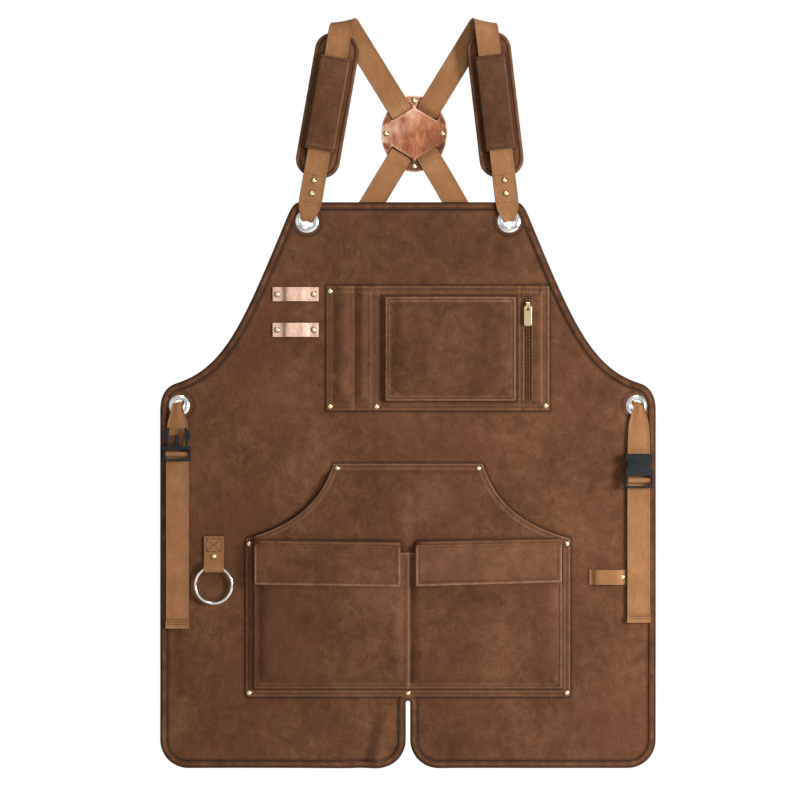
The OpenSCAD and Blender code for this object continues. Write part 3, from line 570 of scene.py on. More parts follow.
def sweep(part, rows, section=WEB_LOOP, step=4.0, bow=0.0, full=32.0, wave=0.0, tone=None, start=0.0):
    """Sweeps a webbing through rows of (centre, width direction, width, thickness). bow curls it where it
    is gathered narrower than full, and wave lets it ripple."""
    flat = [np.concatenate([c, np.asarray(w, float) * width, [thick]])
            for c, w, width, thick in [(np.asarray(r[0], float), unit(r[1]), r[2], r[3]) for r in rows]]
    s = spline(flat, step)
    centre, wide, thick = s[:, :3], s[:, 3:6], s[:, 6]
    along = np.gradient(centre, axis=0)
    normal = unit_rows(np.cross(along, wide))
    width = np.linalg.norm(wide, axis=1)
    length = np.concatenate([[0], np.cumsum(np.linalg.norm(np.diff(centre, axis=0), axis=1))]) + start
    verts, rest, shade = [], [], []
    for i in range(len(s)):
        pinch = max(0.0, 1 - width[i] / full)
        for u, v, c in section:
            lift = bow * pinch * math.cos(u * math.pi * 1.5)
            lift += wave * noise.noise(Vector((u * 0.8, length[i] / 38, 3.1)))
            verts.append(centre[i] + wide[i] * u / 2 + normal[i] * (v * thick[i] / 2 + lift))
            rest.append([u * full / 2, length[i], v])
            shade.append(c + (tone(length[i], u) if tone else 0.0))
    part.add(verts, tube(len(s), len(section)), rest, shade)


def stitch_run(part, path, out, pitch=3.4, length=2.5, r=0.42, sink=0.12, closed=False):
    """A row of stitches along 3D points. out is the direction away from the cloth, one or per point."""
    path = np.asarray(path, float)
    out = np.broadcast_to(np.asarray(out, float), path.shape)
    if closed:
        path, out = np.vstack([path, path[:1]]), np.vstack([out, out[:1]])
    s = np.concatenate([[0], np.cumsum(np.linalg.norm(np.diff(path, axis=0), axis=1))])
    n = max(1, int(s[-1] / pitch))
    for i in range(n):
        mid = (i + 0.5) * s[-1] / n
        at = [np.array([np.interp(mid + k * length, s, path[:, a]) for a in range(3)]) for k in (-0.5, 0, 0.5)]
        o = unit([np.interp(mid, s, out[:, a]) for a in range(3)])
        if np.linalg.norm(at[2] - at[0]) < 0.2:
            continue
        d = unit(at[2] - at[0])
        w = np.cross(d, o)
        verts = [at[0] - o * (r + sink)]
        for k in (-0.28, 0.28):
            c = at[1] + d * k * length + o * (r * 0.35 - sink)
            verts += [c + w * r, c + o * r * 0.9, c - w * r, c - o * r * 0.9]
        verts.append(at[2] - o * (r + sink))
        faces = [[0, 1 + k, 1 + (k + 1) % 4] for k in range(4)]
        faces += [[1 + k, 5 + k, 5 + (k + 1) % 4, 1 + (k + 1) % 4] for k in range(4)]
        faces += [[9, 5 + (k + 1) % 4, 5 + k] for k in range(4)]
        part.add(verts, faces)


def rows_on(part, pts, surface, closed=False, **how):
    """Stitches along plane points (x, z) that lie on a surface function."""
    P = np.asarray(pts, float)
    if closed:
        P = np.vstack([P, P[:1]])
    fine = []
    for a, b in zip(P, P[1:]):
        n = max(1, int(np.linalg.norm(b - a) / 3))
        fine += [a + (b - a) * i / n for i in range(n)]
    fine = np.array(fine + [P[-1]])
    y = surface(fine)
    stitch_run(part, np.stack([fine[:, 0], y, fine[:, 1]], 1), (0, -1, 0), **how)


def level(y):
    """A surface function that is flat."""
    return lambda Q: np.full(len(Q), y)


def cad_copy(name, node, look, body, bevel=0.3, segments=2, tone=None):
    """The CAD node's own mesh with its sharp edges bevelled."""
    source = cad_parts[node].data
    verts = np.array([v.co for v in source.vertices]) * 1000
    me = bpy.data.meshes.new(name)
    me.from_pydata((verts * MM).tolist(), [], [list(p.vertices) for p in source.polygons])
    bm = bmesh.new()
    bm.from_mesh(me)
    bmesh.ops.remove_doubles(bm, verts=bm.verts, dist=1e-6)
    bmesh.ops.dissolve_limit(bm, angle_limit=math.radians(1), verts=bm.verts, edges=bm.edges)
    sharp = [e for e in bm.edges if len(e.link_faces) == 2 and e.calc_face_angle(0) > math.radians(32)]
    bmesh.ops.bevel(bm, geom=sharp, offset=bevel * MM, segments=segments, profile=0.6, affect="EDGES",
                    clamp_overlap=True)
    bmesh.ops.triangulate(bm, faces=[f for f in bm.faces if len(f.verts) > 4])
    bmesh.ops.recalc_face_normals(bm, faces=bm.faces)
    verts = np.array([v.co for v in bm.verts]) * 1000
    faces = [[v.index for v in f.verts] for f in bm.faces]
    bm.free()
    ob = make(name, verts, faces, look, body, [node], tone=tone(verts) if tone else None, fix=False)
    ob.data.set_sharp_from_angle(angle=math.radians(40))


# ---- Camera, light and floor ----
scene = bpy.context.scene
scene.view_settings.view_transform = "Standard"
CENTRE = Vector((-0.011, 0.0, -0.520))
DISTANCE = 3.7
FIELD = 1.104
cam = bpy.data.objects.new("camera", bpy.data.cameras.new("camera"))
scene.collection.objects.link(cam)
cam.location = CENTRE + Vector((0, -DISTANCE, 0))
cam.rotation_euler = (math.radians(90), 0, 0)
cam.data.lens = cam.data.sensor_width * DISTANCE / FIELD
scene.camera = cam


def area_light(name, place, target, size, power):
    data = bpy.data.lights.new(name, "AREA")
    data.shape, data.size, data.energy = "DISK", size, power
    ob = bpy.data.objects.new(name, data)
    ob.location = place
    ob.rotation_euler = (Vector(target) - Vector(place)).to_track_quat("-Z", "Y").to_euler()
    scene.collection.objects.link(ob)


area_light("key", (1.7, -1.2, -0.40), (0, 0, -0.55), 0.7, 55)
area_light("fill", (-2.2, -2.2, -0.2), (0, 0, -0.5), 1.6, 3)
area_light("top", (0.3, -1.3, 2.0), (0, 0, -0.5), 0.9, 31)
area_light("rear", (-1.4, 2.4, 0.9), (0, 0, -0.5), 1.4, 60)


def studio(light=0.14, mirrored=0.5):
    """A white backdrop that lights the scene less, and is mirrored less bright, than it is seen."""
    world = bpy.data.worlds.new("studio")
    scene.world = world
    world.use_nodes = True
    nodes, link = world.node_tree.nodes, world.node_tree.links.new
    dim, white = nodes["Background"], nodes.new("ShaderNodeBackground")
    for background, strength in ((dim, light), (white, 1.0)):
        background.inputs[0].default_value = (1, 1, 1, 1)
        background.inputs[1].default_value = strength
    rays = nodes.new("ShaderNodeLightPath")
    share = nodes.new("ShaderNodeMath")
    share.operation = "MULTIPLY_ADD"
    share.inputs[1].default_value = mirrored
    both = nodes.new("ShaderNodeMixShader")
    link(rays.outputs["Is Glossy Ray"], share.inputs[0])
    link(rays.outputs["Is Camera Ray"], share.inputs[2])
    link(share.outputs[0], both.inputs[0])
    link(dim.outputs[0], both.inputs[1])
    link(white.outputs[0], both.inputs[2])
    link(both.outputs[0], nodes["World Output"].inputs[0])


studio()
FLOOR_Z, FLOOR_HALF, FLOOR_NEAR, FLOOR_FAR = -1.24, 3.0, -3.2, 0.9
floor_mesh = bpy.data.meshes.new("floor")
floor_corners = [(-FLOOR_HALF, FLOOR_NEAR, FLOOR_Z), (FLOOR_HALF, FLOOR_NEAR, FLOOR_Z),
                 (FLOOR_HALF, FLOOR_FAR, FLOOR_Z), (-FLOOR_HALF, FLOOR_FAR, FLOOR_Z)]
floor_mesh.from_pydata(floor_corners, [], [(0, 1, 2, 3)])
floor = bpy.data.objects.new("floor", floor_mesh)
scene.collection.objects.link(floor)
pale = bpy.data.materials.new("pale_floor")
pale.use_nodes = True
pale_shader = pale.node_tree.nodes["Principled BSDF"]
pale_shader.inputs["Base Color"].default_value = (0.86, 0.86, 0.85, 1)
pale_shader.inputs["Roughness"].default_value = 0.8
floor_mesh.materials.append(pale)

# ---- The apron's sizes, from the frame ----
PANEL = Rect("canvas_panel")
HALF_W, HEM_Z, BIB_TOP = PANEL.x1, PANEL.z0, PANEL.z1
CANVAS_T = 1.5
SLIT_HALF, SLIT_TOP, HEM_R = 4.0, -934.0, 38.0
CHEST, PEN, INSET, HAND, LOWER = [Rect(node) for node in (
    "chest_patch", "pen_pocket", "inset_pocket", "hand_pocket", "lower_pocket")]
BIB_FLANGE, WAIST_FLANGE = 16.3, 14.8
BIB_HOLE, WAIST_HOLE = 10.0, 9.5


def right_eyelet(node, flange):
    """The centre (x, z) of the right eyelet of a pair."""
    hi = box_mm(node)[1]
    return hi[0] - flange, hi[2] - flange


BIB_EYE, WAIST_EYE = right_eyelet("bib_eyelets", BIB_FLANGE), right_eyelet("waist_eyelets", WAIST_FLANGE)

# Where the cloth lies flat: behind the hand pocket, the chest pockets and tool loops, and the waist straps
FLAT = [(-240, 240, -935, -590), (-197, 205, -546, -350), (-345, -245, -870, -490), (240, 345, -870, -490)]


def drape(P):
    """How far the hanging canvas stands back from its flat place."""
    x, z = P[:, 0], P[:, 1]
    free = smooth(rect_dist(P, FLAT) / 40)
    y = (1.3 * np.sin(x / 58 + 1.3) * np.sin(z / 76 + 0.4) + 1.0 * wob(P, 85, 4.2)) * free
    y += 0.25 * wob(P, 30, 1.7)
    low = SLIT_TOP - z
    leg = smooth((low + 2) / 45)
    y += leg * (-3.6 * bell(x, -24 - 0.22 * low, 8) + 2.6 * bell(x, -38 - 0.3 * low, 10)
                - 1.6 * bell(x, -62 - 0.4 * low, 18) + 1.2 * np.sin(x / 47 + 0.4)
                - 1.4 * bell(x, 30 + 0.1 * low, 14))
    return y


def at(p):
    """The canvas's y at one place."""
    return float(drape(np.array([p], float))[0])


# ---- Canvas panel and its edge ----
def panel_outline():
    top_corner = bezier([(150, BIB_TOP), (157, BIB_TOP), (162, BIB_TOP - 10), (166, BIB_TOP - 20)], 6)
    side_curve = bezier([(166, BIB_TOP - 20), (226, -413), (252, -477), (320, -498)], 26)
    waist_corner = bezier([(320, -498), (333, -502), (HALF_W, -514), (HALF_W, -534)], 10)
    outer_hem = arc(HALF_W - HEM_R, HEM_Z + HEM_R, HEM_R, 0, -90, 12)
    inner_hem = arc(SLIT_HALF + HEM_R, HEM_Z + HEM_R, HEM_R, 270, 180, 12)
    slit_end = arc(0, SLIT_TOP - SLIT_HALF, SLIT_HALF, 0, 80, 4)
    return anticlockwise(both_halves(np.concatenate([
        top_corner, side_curve[1:], waist_corner[1:], outer_hem, inner_hem, slit_end])))


PANEL_LOOP = panel_outline()
EYELETS = [(s * x, z, hole, flange) for (x, z), hole, flange in (
    (BIB_EYE, BIB_HOLE, BIB_FLANGE), (WAIST_EYE, WAIST_HOLE, WAIST_FLANGE)) for s in (-1, 1)]
holes = [arc(x, z, hole + 0.7, 0, 360, 36)[:-1] for x, z, hole, _ in EYELETS]

# The hand pocket is open along its two curved sides
HAND_W, HAND_TOP_W = HAND.x1, 103.0
hand_side = bezier([(HAND_TOP_W, HAND.z1), (118, -655), (148, -690), (HAND_W - 1, -711)], 18)
hand_corner = arc(HAND_W - 3, HAND.z0 + 3, 3, 0, -90, 4)
HAND_LOOP = anticlockwise(both_halves(np.concatenate([hand_side, [(HAND_W, -713)], hand_corner])))
OUTLINES = [HAND_LOOP, rect_loop(PEN.x0, CHEST.x1, PEN.z0, PEN.z1)]


def panel_tone(P, d):
    """Painted shade along the hem's seam, painted shadow just outside the pockets, painted shade towards the
    bib's top and the legs' foot, and painted light and shade on the leg's crease.
    """
    t = -0.75 * bell(d, 9.9, 1.1) + 0.12 * bell(d, 12.5, 1.8) + 0.05 * wob(P, 24, 8.8)
    t = t - 0.75 * bell(line_dist(P, OUTLINES), 1.6, 1.7)
    t = t - 0.16 * smooth((P[:, 1] + 372) / 60) - 0.05 * smooth((-900 - P[:, 1]) / 60)
    return t + 0.22 * crease_light_and_shade(P)


# Painted light on the leg crease's ridge and painted shade in its trough
def crease_light_and_shade(P):
    x, z = P[:, 0], P[:, 1]
    low = SLIT_TOP - z
    return smooth(low / 40) * (bell(x, -24 - 0.22 * low, 4) - 1.6 * bell(x, -34 - 0.28 * low, 5))


canvas = cloth("waxed_canvas_panel", [PANEL_LOOP] + holes, lambda P, d: drape(P), CANVAS_T,
               rings=(0.5, 4, 8.5, 9.6, 10.8, 14), pitch=8, edge=5, tone=panel_tone, nodes=["canvas_panel"],
               extra=[refine(inset(loop, -reach), 4) for loop in OUTLINES for reach in (0.2, 1.6, 3.2, 5.0)])

# The edge is folded over twice and sewn: (distance in from the edge, y, tone). The tone is painted shade where
# the band meets the canvas, in the stitch groove and round the outer fold, and lighter on the band's crown.
HEM_SECTION = [
    (9.4, -0.05, -1.0), (8.9, -0.62, -0.8), (8.0, -0.42, -0.95), (7.0, -0.85, -0.25), (5.4, -1.18, 0.22),
    (3.4, -1.28, 0.05), (1.6, -1.2, -0.35), (0.2, -0.95, -0.75), (-0.7, -0.3, -1.0), (-1.0, 0.75, -1.0),
    (-0.7, 1.8, -0.9), (0.2, 2.35, -0.5), (3.4, 2.6, 0.1), (6.4, 2.5, 0.2), (8.0, 2.0, -0.6),
    (8.9, 2.2, -0.3), (9.4, 1.55, -0.7)]


def around(loop, section, surface, seed=0.0, ripple=0.14):
    """Sweeps a section round a loop that lies on a surface. It swells about the middle of the canvas."""
    rails = [inset(loop, d) for d, _, _ in section]
    base = surface(loop)
    along = np.concatenate([[0], np.cumsum(np.linalg.norm(np.diff(loop, axis=0), axis=1))])
    core = CANVAS_T / 2
    verts, shade = [], []
    for i, s in enumerate(along):
        swelling = 1 + ripple * noise.noise(Vector((s / 14, seed, 0.3)))
        patch = 0.35 * noise.noise(Vector((s / 9, seed, 5.5)))
        for rail, (_, y, c) in zip(rails, section):
            verts.append([rail[i][0], base[i] + (y - core) * swelling + core, rail[i][1]])
            shade.append(c + patch * (1 if c > -0.3 else 0.4))
    return verts, tube(len(loop), len(section), loop=True), shade


edge_loop = refine(PANEL_LOOP, 4)
verts, faces, shade = around(edge_loop, HEM_SECTION, drape)
make("hem_band", verts, faces, CANVAS_DARK, ROOT, ["edge_binding"], tone=shade)

stitches = Part()
hem_line = inset(edge_loop, 8.0)
for off, way in ((-0.5, -1), (2.1, 1)):
    y = drape(edge_loop) + off
    stitch_run(stitches, np.stack([hem_line[:, 0], y, hem_line[:, 1]], 1), (0, way, 0), closed=True, pitch=3.8)


# ---- Pockets ----
def pocket(node, box, corner, surface, tone, rings, on, holes=(), **how):
    """A pocket's cloth, with its corners rounded."""
    piece = cloth(f"{node}_cloth", [rect_loop(*box.sides, corner), *holes], surface, CANVAS_T, rings=rings,
                  tone=tone, nodes=[node], **how)


def seam_points(x, z0, z1):
    """Fine points along an upright seam, so that its groove is straight."""
    spread = (-7, -5.2, -3.8, -2.4, -1.2, 0, 1.2, 2.4, 3.8, 5.2, 7)
    return [(x + dx, z) for z in np.arange(z0, z1, 3.0) for dx in spread]


def raised(gap, ds, width):
    """The canvas's thickness, and a gap behind it that opens over width from a seam."""
    return CANVAS_T + gap * smooth(ds / width)


def lines_x(P, *spots):
    """Tone of upright seams: each spot is (x, width, tone)."""
    return sum(c * bell(P[:, 0], x, w) for x, w, c in spots)


def lines_z(P, *spots):
    """Tone of level seams: each spot is (z, width, tone)."""
    return sum(c * bell(P[:, 1], z, w) for z, w, c in spots)


def edge_tone(P, d, light=0.5, seed=0.0):
    """A folded edge, lighter with wear on the fold and the swelling, with a row of stitches whose groove is
    darkened with painted shade.
    """
    patchy = 0.75 + 0.6 * wob(P, 7, seed)
    fold, seam, swelling = bell(d, 1.1, 1.2), bell(d, 3.6, 0.8), bell(d, 5.6, 1.7)
    return light * fold * patchy - 0.5 * seam + 0.45 * light * swelling * patchy


# Chest patch
GAP = 6.0
chest_seams = CHEST.strips(left=12, right=9, low=8, top=11)
ZIP_X, ZIP_HALF = 165.0, 4.5
ZIP_Z0, ZIP_Z1 = CHEST.z0 + 11, CHEST.z1 - 14
zip_slot = rect_loop(ZIP_X - ZIP_HALF, ZIP_X + ZIP_HALF, ZIP_Z0, ZIP_Z1, 1.5)


def chest_y(P, d=None):
    return drape(P) - raised(GAP, rect_dist(P, chest_seams), 6) - 0.3 * wob(P, 26, 2.2)


def chest_tone(P, d):
    t = edge_tone(P, line_dist(P, [rect_loop(*CHEST.sides)]), 0.6, 1.0)
    # Painted shade in the stitch grooves of the top hem, the left seam and beside the zip, with lighter folds
    # between
    t = t + lines_z(P, (CHEST.z1 - 11.5, 0.9, -0.5), (CHEST.z1 - 9, 1.3, 0.25))
    t = t + lines_x(P, (-40, 1.6, 0.3), (-35.5, 1.2, -0.6), (151, 1.0, -0.35), (153.6, 1.2, 0.3),
                    (157.2, 0.8, -0.4), (159.6, 0.9, 0.35), (170.4, 0.9, 0.35), (172.8, 0.8, -0.4),
                    (181.5, 0.8, -0.35), (184, 1.2, 0.3))
    # Painted shadow round the inset pocket
    return t - 0.7 * bell(rect_dist(P, [INSET.sides]), 0.6, 1.8)


pocket("chest_patch", CHEST, 1.5, chest_y, chest_tone, (0.5, 1.8, 3.2, 4.4, 7, 9, 10.5, 12, 14, 17),
       "waxed_canvas_panel", [zip_slot], pitch=7)

# Inset pocket, sewn to the chest patch
INSET_BACK, INSET_GAP = -9.0, 5.0
inset_seams = INSET.strips(left=5, right=5, low=5)


def inset_y(P, d=None):
    ds = rect_dist(P, inset_seams)
    return INSET_BACK - INSET_GAP * smooth(ds / 18) - 0.5 * wob(P, 34, 6.1) * smooth(ds / 14)


def inset_tone(P, d):
    t = edge_tone(P, d, 0.9, 2.0) + 0.10 * wob(P, 16, 3.0) - 0.16 * smooth(d / 10)
    # Painted shade in the stitch groove below the top hem, which is lighter
    return t + lines_z(P, (INSET.z1 - 10, 0.8, -0.3), (INSET.z1 - 5, 3.0, 0.22))


pocket("inset_pocket", INSET, 1.2, inset_y, inset_tone, (0.5, 1.4, 2.6, 3.8, 5, 6.5, 8, 10, 12),
       "chest_patch_cloth", pitch=7)

# Pen pocket in two channels
PEN_SPLIT = -75.2
pen_seams = PEN.strips(left=8, right=2, low=8) + [(PEN_SPLIT - 1, PEN_SPLIT + 1, PEN.z0, PEN.z1)]


def pen_y(P, d=None):
    return drape(P) - raised(0.62 * GAP, rect_dist(P, pen_seams), 13) - 0.25 * wob(P, 22, 7.2)


def pen_tone(P, d):
    # Painted light and shade on the split seam and the top hem's stitch groove, and slightly darker overall
    t = edge_tone(P, d, 0.6, 3.0) + lines_x(P, (PEN_SPLIT, 1.3, 0.4), (PEN_SPLIT + 3, 1.2, -0.35)) - 0.05
    return t + lines_z(P, (PEN.z1 - 11.5, 0.9, -0.45), (PEN.z1 - 9, 1.3, 0.25))


pocket("pen_pocket", PEN, 1.2, pen_y, pen_tone, (0.5, 1.8, 3.2, 4.4, 7, 9, 10.5, 12, 14), "waxed_canvas_panel",
       pitch=5, extra=[seam_points(PEN_SPLIT, PEN.z0 + 5, PEN.z1 - 2)])

# Hand pocket: sewn along its top, its foot and the straight parts of its sides
HAND_SEAM, HAND_SIDE_TOP = 8, -704
hand_seams = [(-HAND_TOP_W - 4, HAND_TOP_W + 4, HAND.z1 - 10, HAND.z1),
              (-HAND_W, HAND_W, HAND.z0, HAND.z0 + HAND_SEAM),
              (HAND_W - HAND_SEAM, HAND_W, HAND.z0, HAND_SIDE_TOP),
              (-HAND_W, HAND_SEAM - HAND_W, HAND.z0, HAND_SIDE_TOP)]
FLAP_IN, FLAP_OUT = 10.5, 211.5
FLAP_RECTS = [(FLAP_IN, FLAP_OUT, -772, -716), (-FLAP_OUT, -FLAP_IN, -772, -716)]
flap_edges = [refine(rect_loop(x0 - r, x1 + r, z0 - r, z1 + r), 4)
              for x0, x1, z0, z1 in FLAP_RECTS for r in (0.4, 1.8, 3.4)]


def hand_y(P, d=None):
    ds = rect_dist(P, hand_seams)
    return drape(P) - raised(GAP, ds, 5) - 0.4 * wob(P, 48, 9.4) * smooth(ds / 20)


def hand_tone(P, d):
    """Painted shadow just outside the flaps and the lower pocket, painted shade in the inner stitch groove, and
    lighter where it shows between the flaps.
    """
    t = edge_tone(P, d, 0.75, 4.0) - 0.35 * bell(d, 9.6, 0.8) + 0.25 * bell(d, 7.6, 1.6) - 0.07
    beyond = rect_dist(P, FLAP_RECTS)
    t = t - 0.8 * bell(beyond, 1.8, 1.8) * smooth(beyond)
    middle = bell(P[:, 0], 0, 6) * (0.18 + 0.15 * wob(P, 12, 3.3))
    return t + middle - 0.3 * bell(rect_dist(P, [LOWER.sides]), 0.5, 1.6)


hand = cloth("hand_pocket_cloth", [HAND_LOOP], hand_y, CANVAS_T,
             rings=(0.5, 1.8, 3.2, 4.6, 7, 8.6, 9.6, 10.8, 13, 16), pitch=8,
             tone=hand_tone, nodes=["hand_pocket"], extra=flap_edges)

# Lower pocket in two compartments
LOWER_GAP = 5.0
lower_seams = LOWER.strips(left=4, right=4, low=5) + [(-1.5, 1.5, LOWER.z0, LOWER.z1)]


def lower_y(P, d=None):
    ds = rect_dist(P, lower_seams)
    base = np.minimum(hand_y(P), -5.2)
    middle = -1.1 * bell(P[:, 0], 0, 1.6)
    return base - CANVAS_T - LOWER_GAP * smooth(ds / 13) - 0.6 * wob(P, 60, 5.7) * smooth(ds / 25) + middle


def lower_tone(P, d):
    # A lighter centre seam with painted shade in the grooves beside it, the left compartment darker with
    # painted shade, and a lighter mouth
    t = edge_tone(P, d, 0.7, 5.0) + lines_x(P, (0, 2.6, 0.6), (-5.2, 1.2, -0.4), (5.4, 1.2, -0.3))
    return t - 0.08 - 0.08 * smooth(-P[:, 0] / 30) + lines_z(P, (LOWER.z1 - 3, 1.2, 0.3))


pocket("lower_pocket", LOWER, 1.2, lower_y, lower_tone, (0.5, 1.8, 3.2, 4.6, 6, 8, 10, 12.5),
       "hand_pocket_cloth", pitch=8, extra=[seam_points(0, LOWER.z0 + 6, LOWER.z1 - 2)])

# ---- Flaps: corners go round from the outer bottom ----
FLAP_BACK, FLAP_T, FLAP_TOP, FLAP_DROP = -14.5, 1.5, -717, 58
FLAP_FRONT = FLAP_BACK - FLAP_T
FLAPS = {"left": [(-FLAP_OUT, -773.8), (-FLAP_IN, -777.0), (-FLAP_IN, -720.0), (-FLAP_OUT, -717.2)],
         "right": [(FLAP_IN, -776.2), (FLAP_OUT, -770.6), (FLAP_OUT, -714.8), (FLAP_IN, -718.8)]}


def pocket_flap(side, corners):
    """A flap with its two rows of stitches. The roll above it stays where it is."""
    corners = np.array(corners)
    mid_x = corners[:, 0].mean()

    def surface(P, d):
        down = np.clip((FLAP_TOP - P[:, 1]) / FLAP_DROP, 0, 1)
        swelling = wob(P, 40, mid_x) * smooth(down * 2) + bell(d, 1.5, 1.5) * smooth(down * 3)
        return FLAP_FRONT - 0.5 * swelling

    def tone(P, d):
        top = np.abs(P[:, 1] - np.interp(P[:, 0], corners[[3, 2], 0], corners[[3, 2], 1]))
        patchy = 0.8 + 0.6 * wob(P, 8, mid_x)
        # Edges lighter with wear except at the top; painted shade in the stitch groove and under the roll at
        # the top
        t = (1 - bell(top, 0, 5)) * bell(d, 1.5, 1.6) * patchy - 0.45 * bell(d, 4.4, 0.9)
        t = t + 0.10 * wob(P, 18, 1.1) - 0.25 * bell(top, 0, 2.0) + 0.15 * bell(top, 5, 2.5)
        # The right flap is lighter and the left darker: painted light and shade
        return t + (0.16 if mid_x > 0 else -0.03)

    piece = cloth(f"{side}_flap_cloth", [corners], surface, FLAP_T, body=f"{side}_flap",
                  rings=(0.5, 1.4, 2.6, 4, 5.4, 8, 11), pitch=7, tone=tone, nodes=[f"{side}_flap"])
    run = Part()
    for d, proud in ((4.0, 0.05), (1.9, 0.35)):
        rows_on(run, inset(corners, d)[[3, 0, 1, 2]], level(FLAP_FRONT - proud), pitch=3.6)
    run.build(f"{side}_flap_stitches", THREAD, f"{side}_flap")


for side, corners in FLAPS.items():
    pocket_flap(side, corners)

# The sewn roll that each flap hangs from: (y, height above the flap's top edge)
ROLL = [(-7.0, -2.0), (-13.6, -1.6), (-15.2, -0.6), (-15.9, 1.0), (-15.4, 2.8), (-14.0, 4.1), (-12.0, 4.8),
        (-7.0, 5.4)]
ROLL_BACK = -7


def flap_roll(start, end, steps=60):
    verts, shade = [], []
    for i in range(steps + 1):
        x, z = start + (end - start) * i / steps
        shrink = 1 - 0.55 * (1 - smooth(min(i, steps - i) / 2.5))
        for y, h in ROLL:
            ripple = 0.25 * noise.noise(Vector((x / 9, h / 4, 2.0)))
            verts.append([x, ROLL_BACK + (y - ROLL_BACK) * shrink + ripple, z + h * (0.6 + 0.4 * shrink)])
            # Painted shade where the roll meets the pocket above and below it, and a painted highlight on its
            # face
            shade.append(-0.95 if h > 4.5 or h < -1 else (0.12 if 0 < h < 3 else -0.1))
    return verts, tube(steps + 1, len(ROLL)), shade


roll = Part()
for corners in FLAPS.values():
    verts, faces, shade = flap_roll(np.array(corners[3]), np.array(corners[2]))
    roll.add(verts, faces, tone=shade)
roll.build("flap_rolls", CANVAS, ROOT, ["flap_seams"])


# ---- Stitch rows on the pockets ----
def row(points, surface, **how):
    rows_on(stitches, points, lambda Q: surface(Q) - 0.02, **how)


x0, x1, z0, z1 = CHEST.sides
row([(PEN.x0 + 3.4, PEN.z1 - 3), (PEN.x0 + 3.4, PEN.z0 + 3.4), (x1 - 3.4, z0 + 3.4), (x1 - 3.4, z1 - 3),
     (x0 + 2, z1 - 3)], lambda Q: np.where(Q[:, 0] < x0, pen_y(Q), chest_y(Q)))
row([(PEN.x0 + 7, PEN.z1 - 11), (PEN.x0 + 7, PEN.z0 + 7), (x0 - 3, PEN.z0 + 7)], pen_y)
row([(x0 + 2, z0 + 7), (x1 - 7, z0 + 7), (x1 - 7, z1 - 11), (x0 + 2, z1 - 11)], chest_y)
for drop in (3, 11):
    row([(PEN.x0 + 3, PEN.z1 - drop), (x0 - 2, PEN.z1 - drop)], pen_y)
for x in (x0 + 3, x0 + 8, 157.2, 172.8, 181.5):
    row([(x, z0 + 8), (x, z1 - 12)], chest_y)
row([(PEN_SPLIT, PEN.z0 + 8), (PEN_SPLIT, PEN.z1 - 12)], pen_y)
for d in (2.2, 4.6):
    row([(INSET.x0 + d, INSET.z1 - 1), (INSET.x0 + d, INSET.z0 + d), (INSET.x1 - d, INSET.z0 + d),
         (INSET.x1 - d, INSET.z1 - 1)], inset_y)
row([(INSET.x0 + 5, INSET.z1 - 10), (INSET.x1 - 5, INSET.z1 - 10)], inset_y)
for d in (3.4, 9.4):
    row(inset(refine(HAND_LOOP, 4), d), hand_y, closed=True)
x0, x1, z0, z1 = LOWER.sides
row([(x0 + 2.8, z1 - 2), (x0 + 2.8, z0 + 2.8), (x1 - 2.8, z0 + 2.8), (x1 - 2.8, z1 - 2)], lower_y)
for x in (-1.6, 1.6):
    row([(x, z0 + 8), (x, z1 - 2)], lower_y)


# ---- Rivets, eyelets and washers ----
RIVET = [(0, -0.1), (3.85, -0.1), (4.0, 0.3), (3.85, 0.75), (3.35, 0.98), (3.05, 0.82), (2.8, 0.86), (2.4, 1.3),
         (1.6, 1.7), (0.8, 1.85), (0, 1.88)]
# Tones: a painted highlight towards the crown, a dark rim and groove that are partly patina in the hollow and
# partly painted shade, and a cap darkened with painted shade where it meets the cloth
RIVET_TONE = [-1.0, -1.0, -0.9, -0.8, -0.6, -1.0, -0.9, 0.0, 0.5, 0.9, 1.0]
CAP = [(0, 0.1), (3.3, 0.1), (3.4, -0.3), (3.1, -0.75), (2.2, -1.1), (0, -1.2)]
CAP_TONE = [-0.8, -0.8, 0.0, 0.3, 0.2, 0.1]


def turn(part, profile, tones, centre, steps=28, closed=False):
    """Adds a turned shape with a tone for each point of its profile."""
    verts, faces = lathe(profile, centre, steps, closed)
    shade = []
    for (r, _), t in zip(profile, tones):
        shade += [t] * (1 if r < 1e-6 else steps)
    part.add(verts, faces, tone=shade)


def rivet(part, x, z, face_y, back_y):
    """A domed head on face_y and a cap behind back_y."""
    turn(part, RIVET, RIVET_TONE, (x, face_y, z))
    turn(part, CAP, CAP_TONE, (x, back_y, z))


def rivets(name, node, spots):
    part = Part()
    for spot in spots:
        rivet(part, *spot)
    part.build(name, BRASS, ROOT, [node])


def through(x, z, proud):
    """A rivet's place. Its head stands proud of the canvas by that much."""
    return x, z, at((x, z)) - proud, at((x, z)) + CANVAS_T


rivets("chest_pocket_rivets", "chest_rivets", [through(x, z, 1.6) for x, z in (
    (PEN.x0 + 5, CHEST.z1 - 7), (PEN.x0 + 5, CHEST.z0 + 5), (CHEST.x0 + 7, CHEST.z0 + 4.8),
    (CHEST.x1 - 5, CHEST.z0 + 6))])
hand_spots = [(s * (HAND_TOP_W - 5.5), HAND.z1 - 6.5) for s in (-1, 1)]
hand_spots += [(s * (HAND_W - 4.6), z) for s in (-1, 1) for z in (-718.5, HAND.z0 + 5)] + [(0, HAND.z0 + 5)]
rivets("lower_pocket_rivets", "pocket_rivets", [through(x, z, 1.6) for x, z in hand_spots])


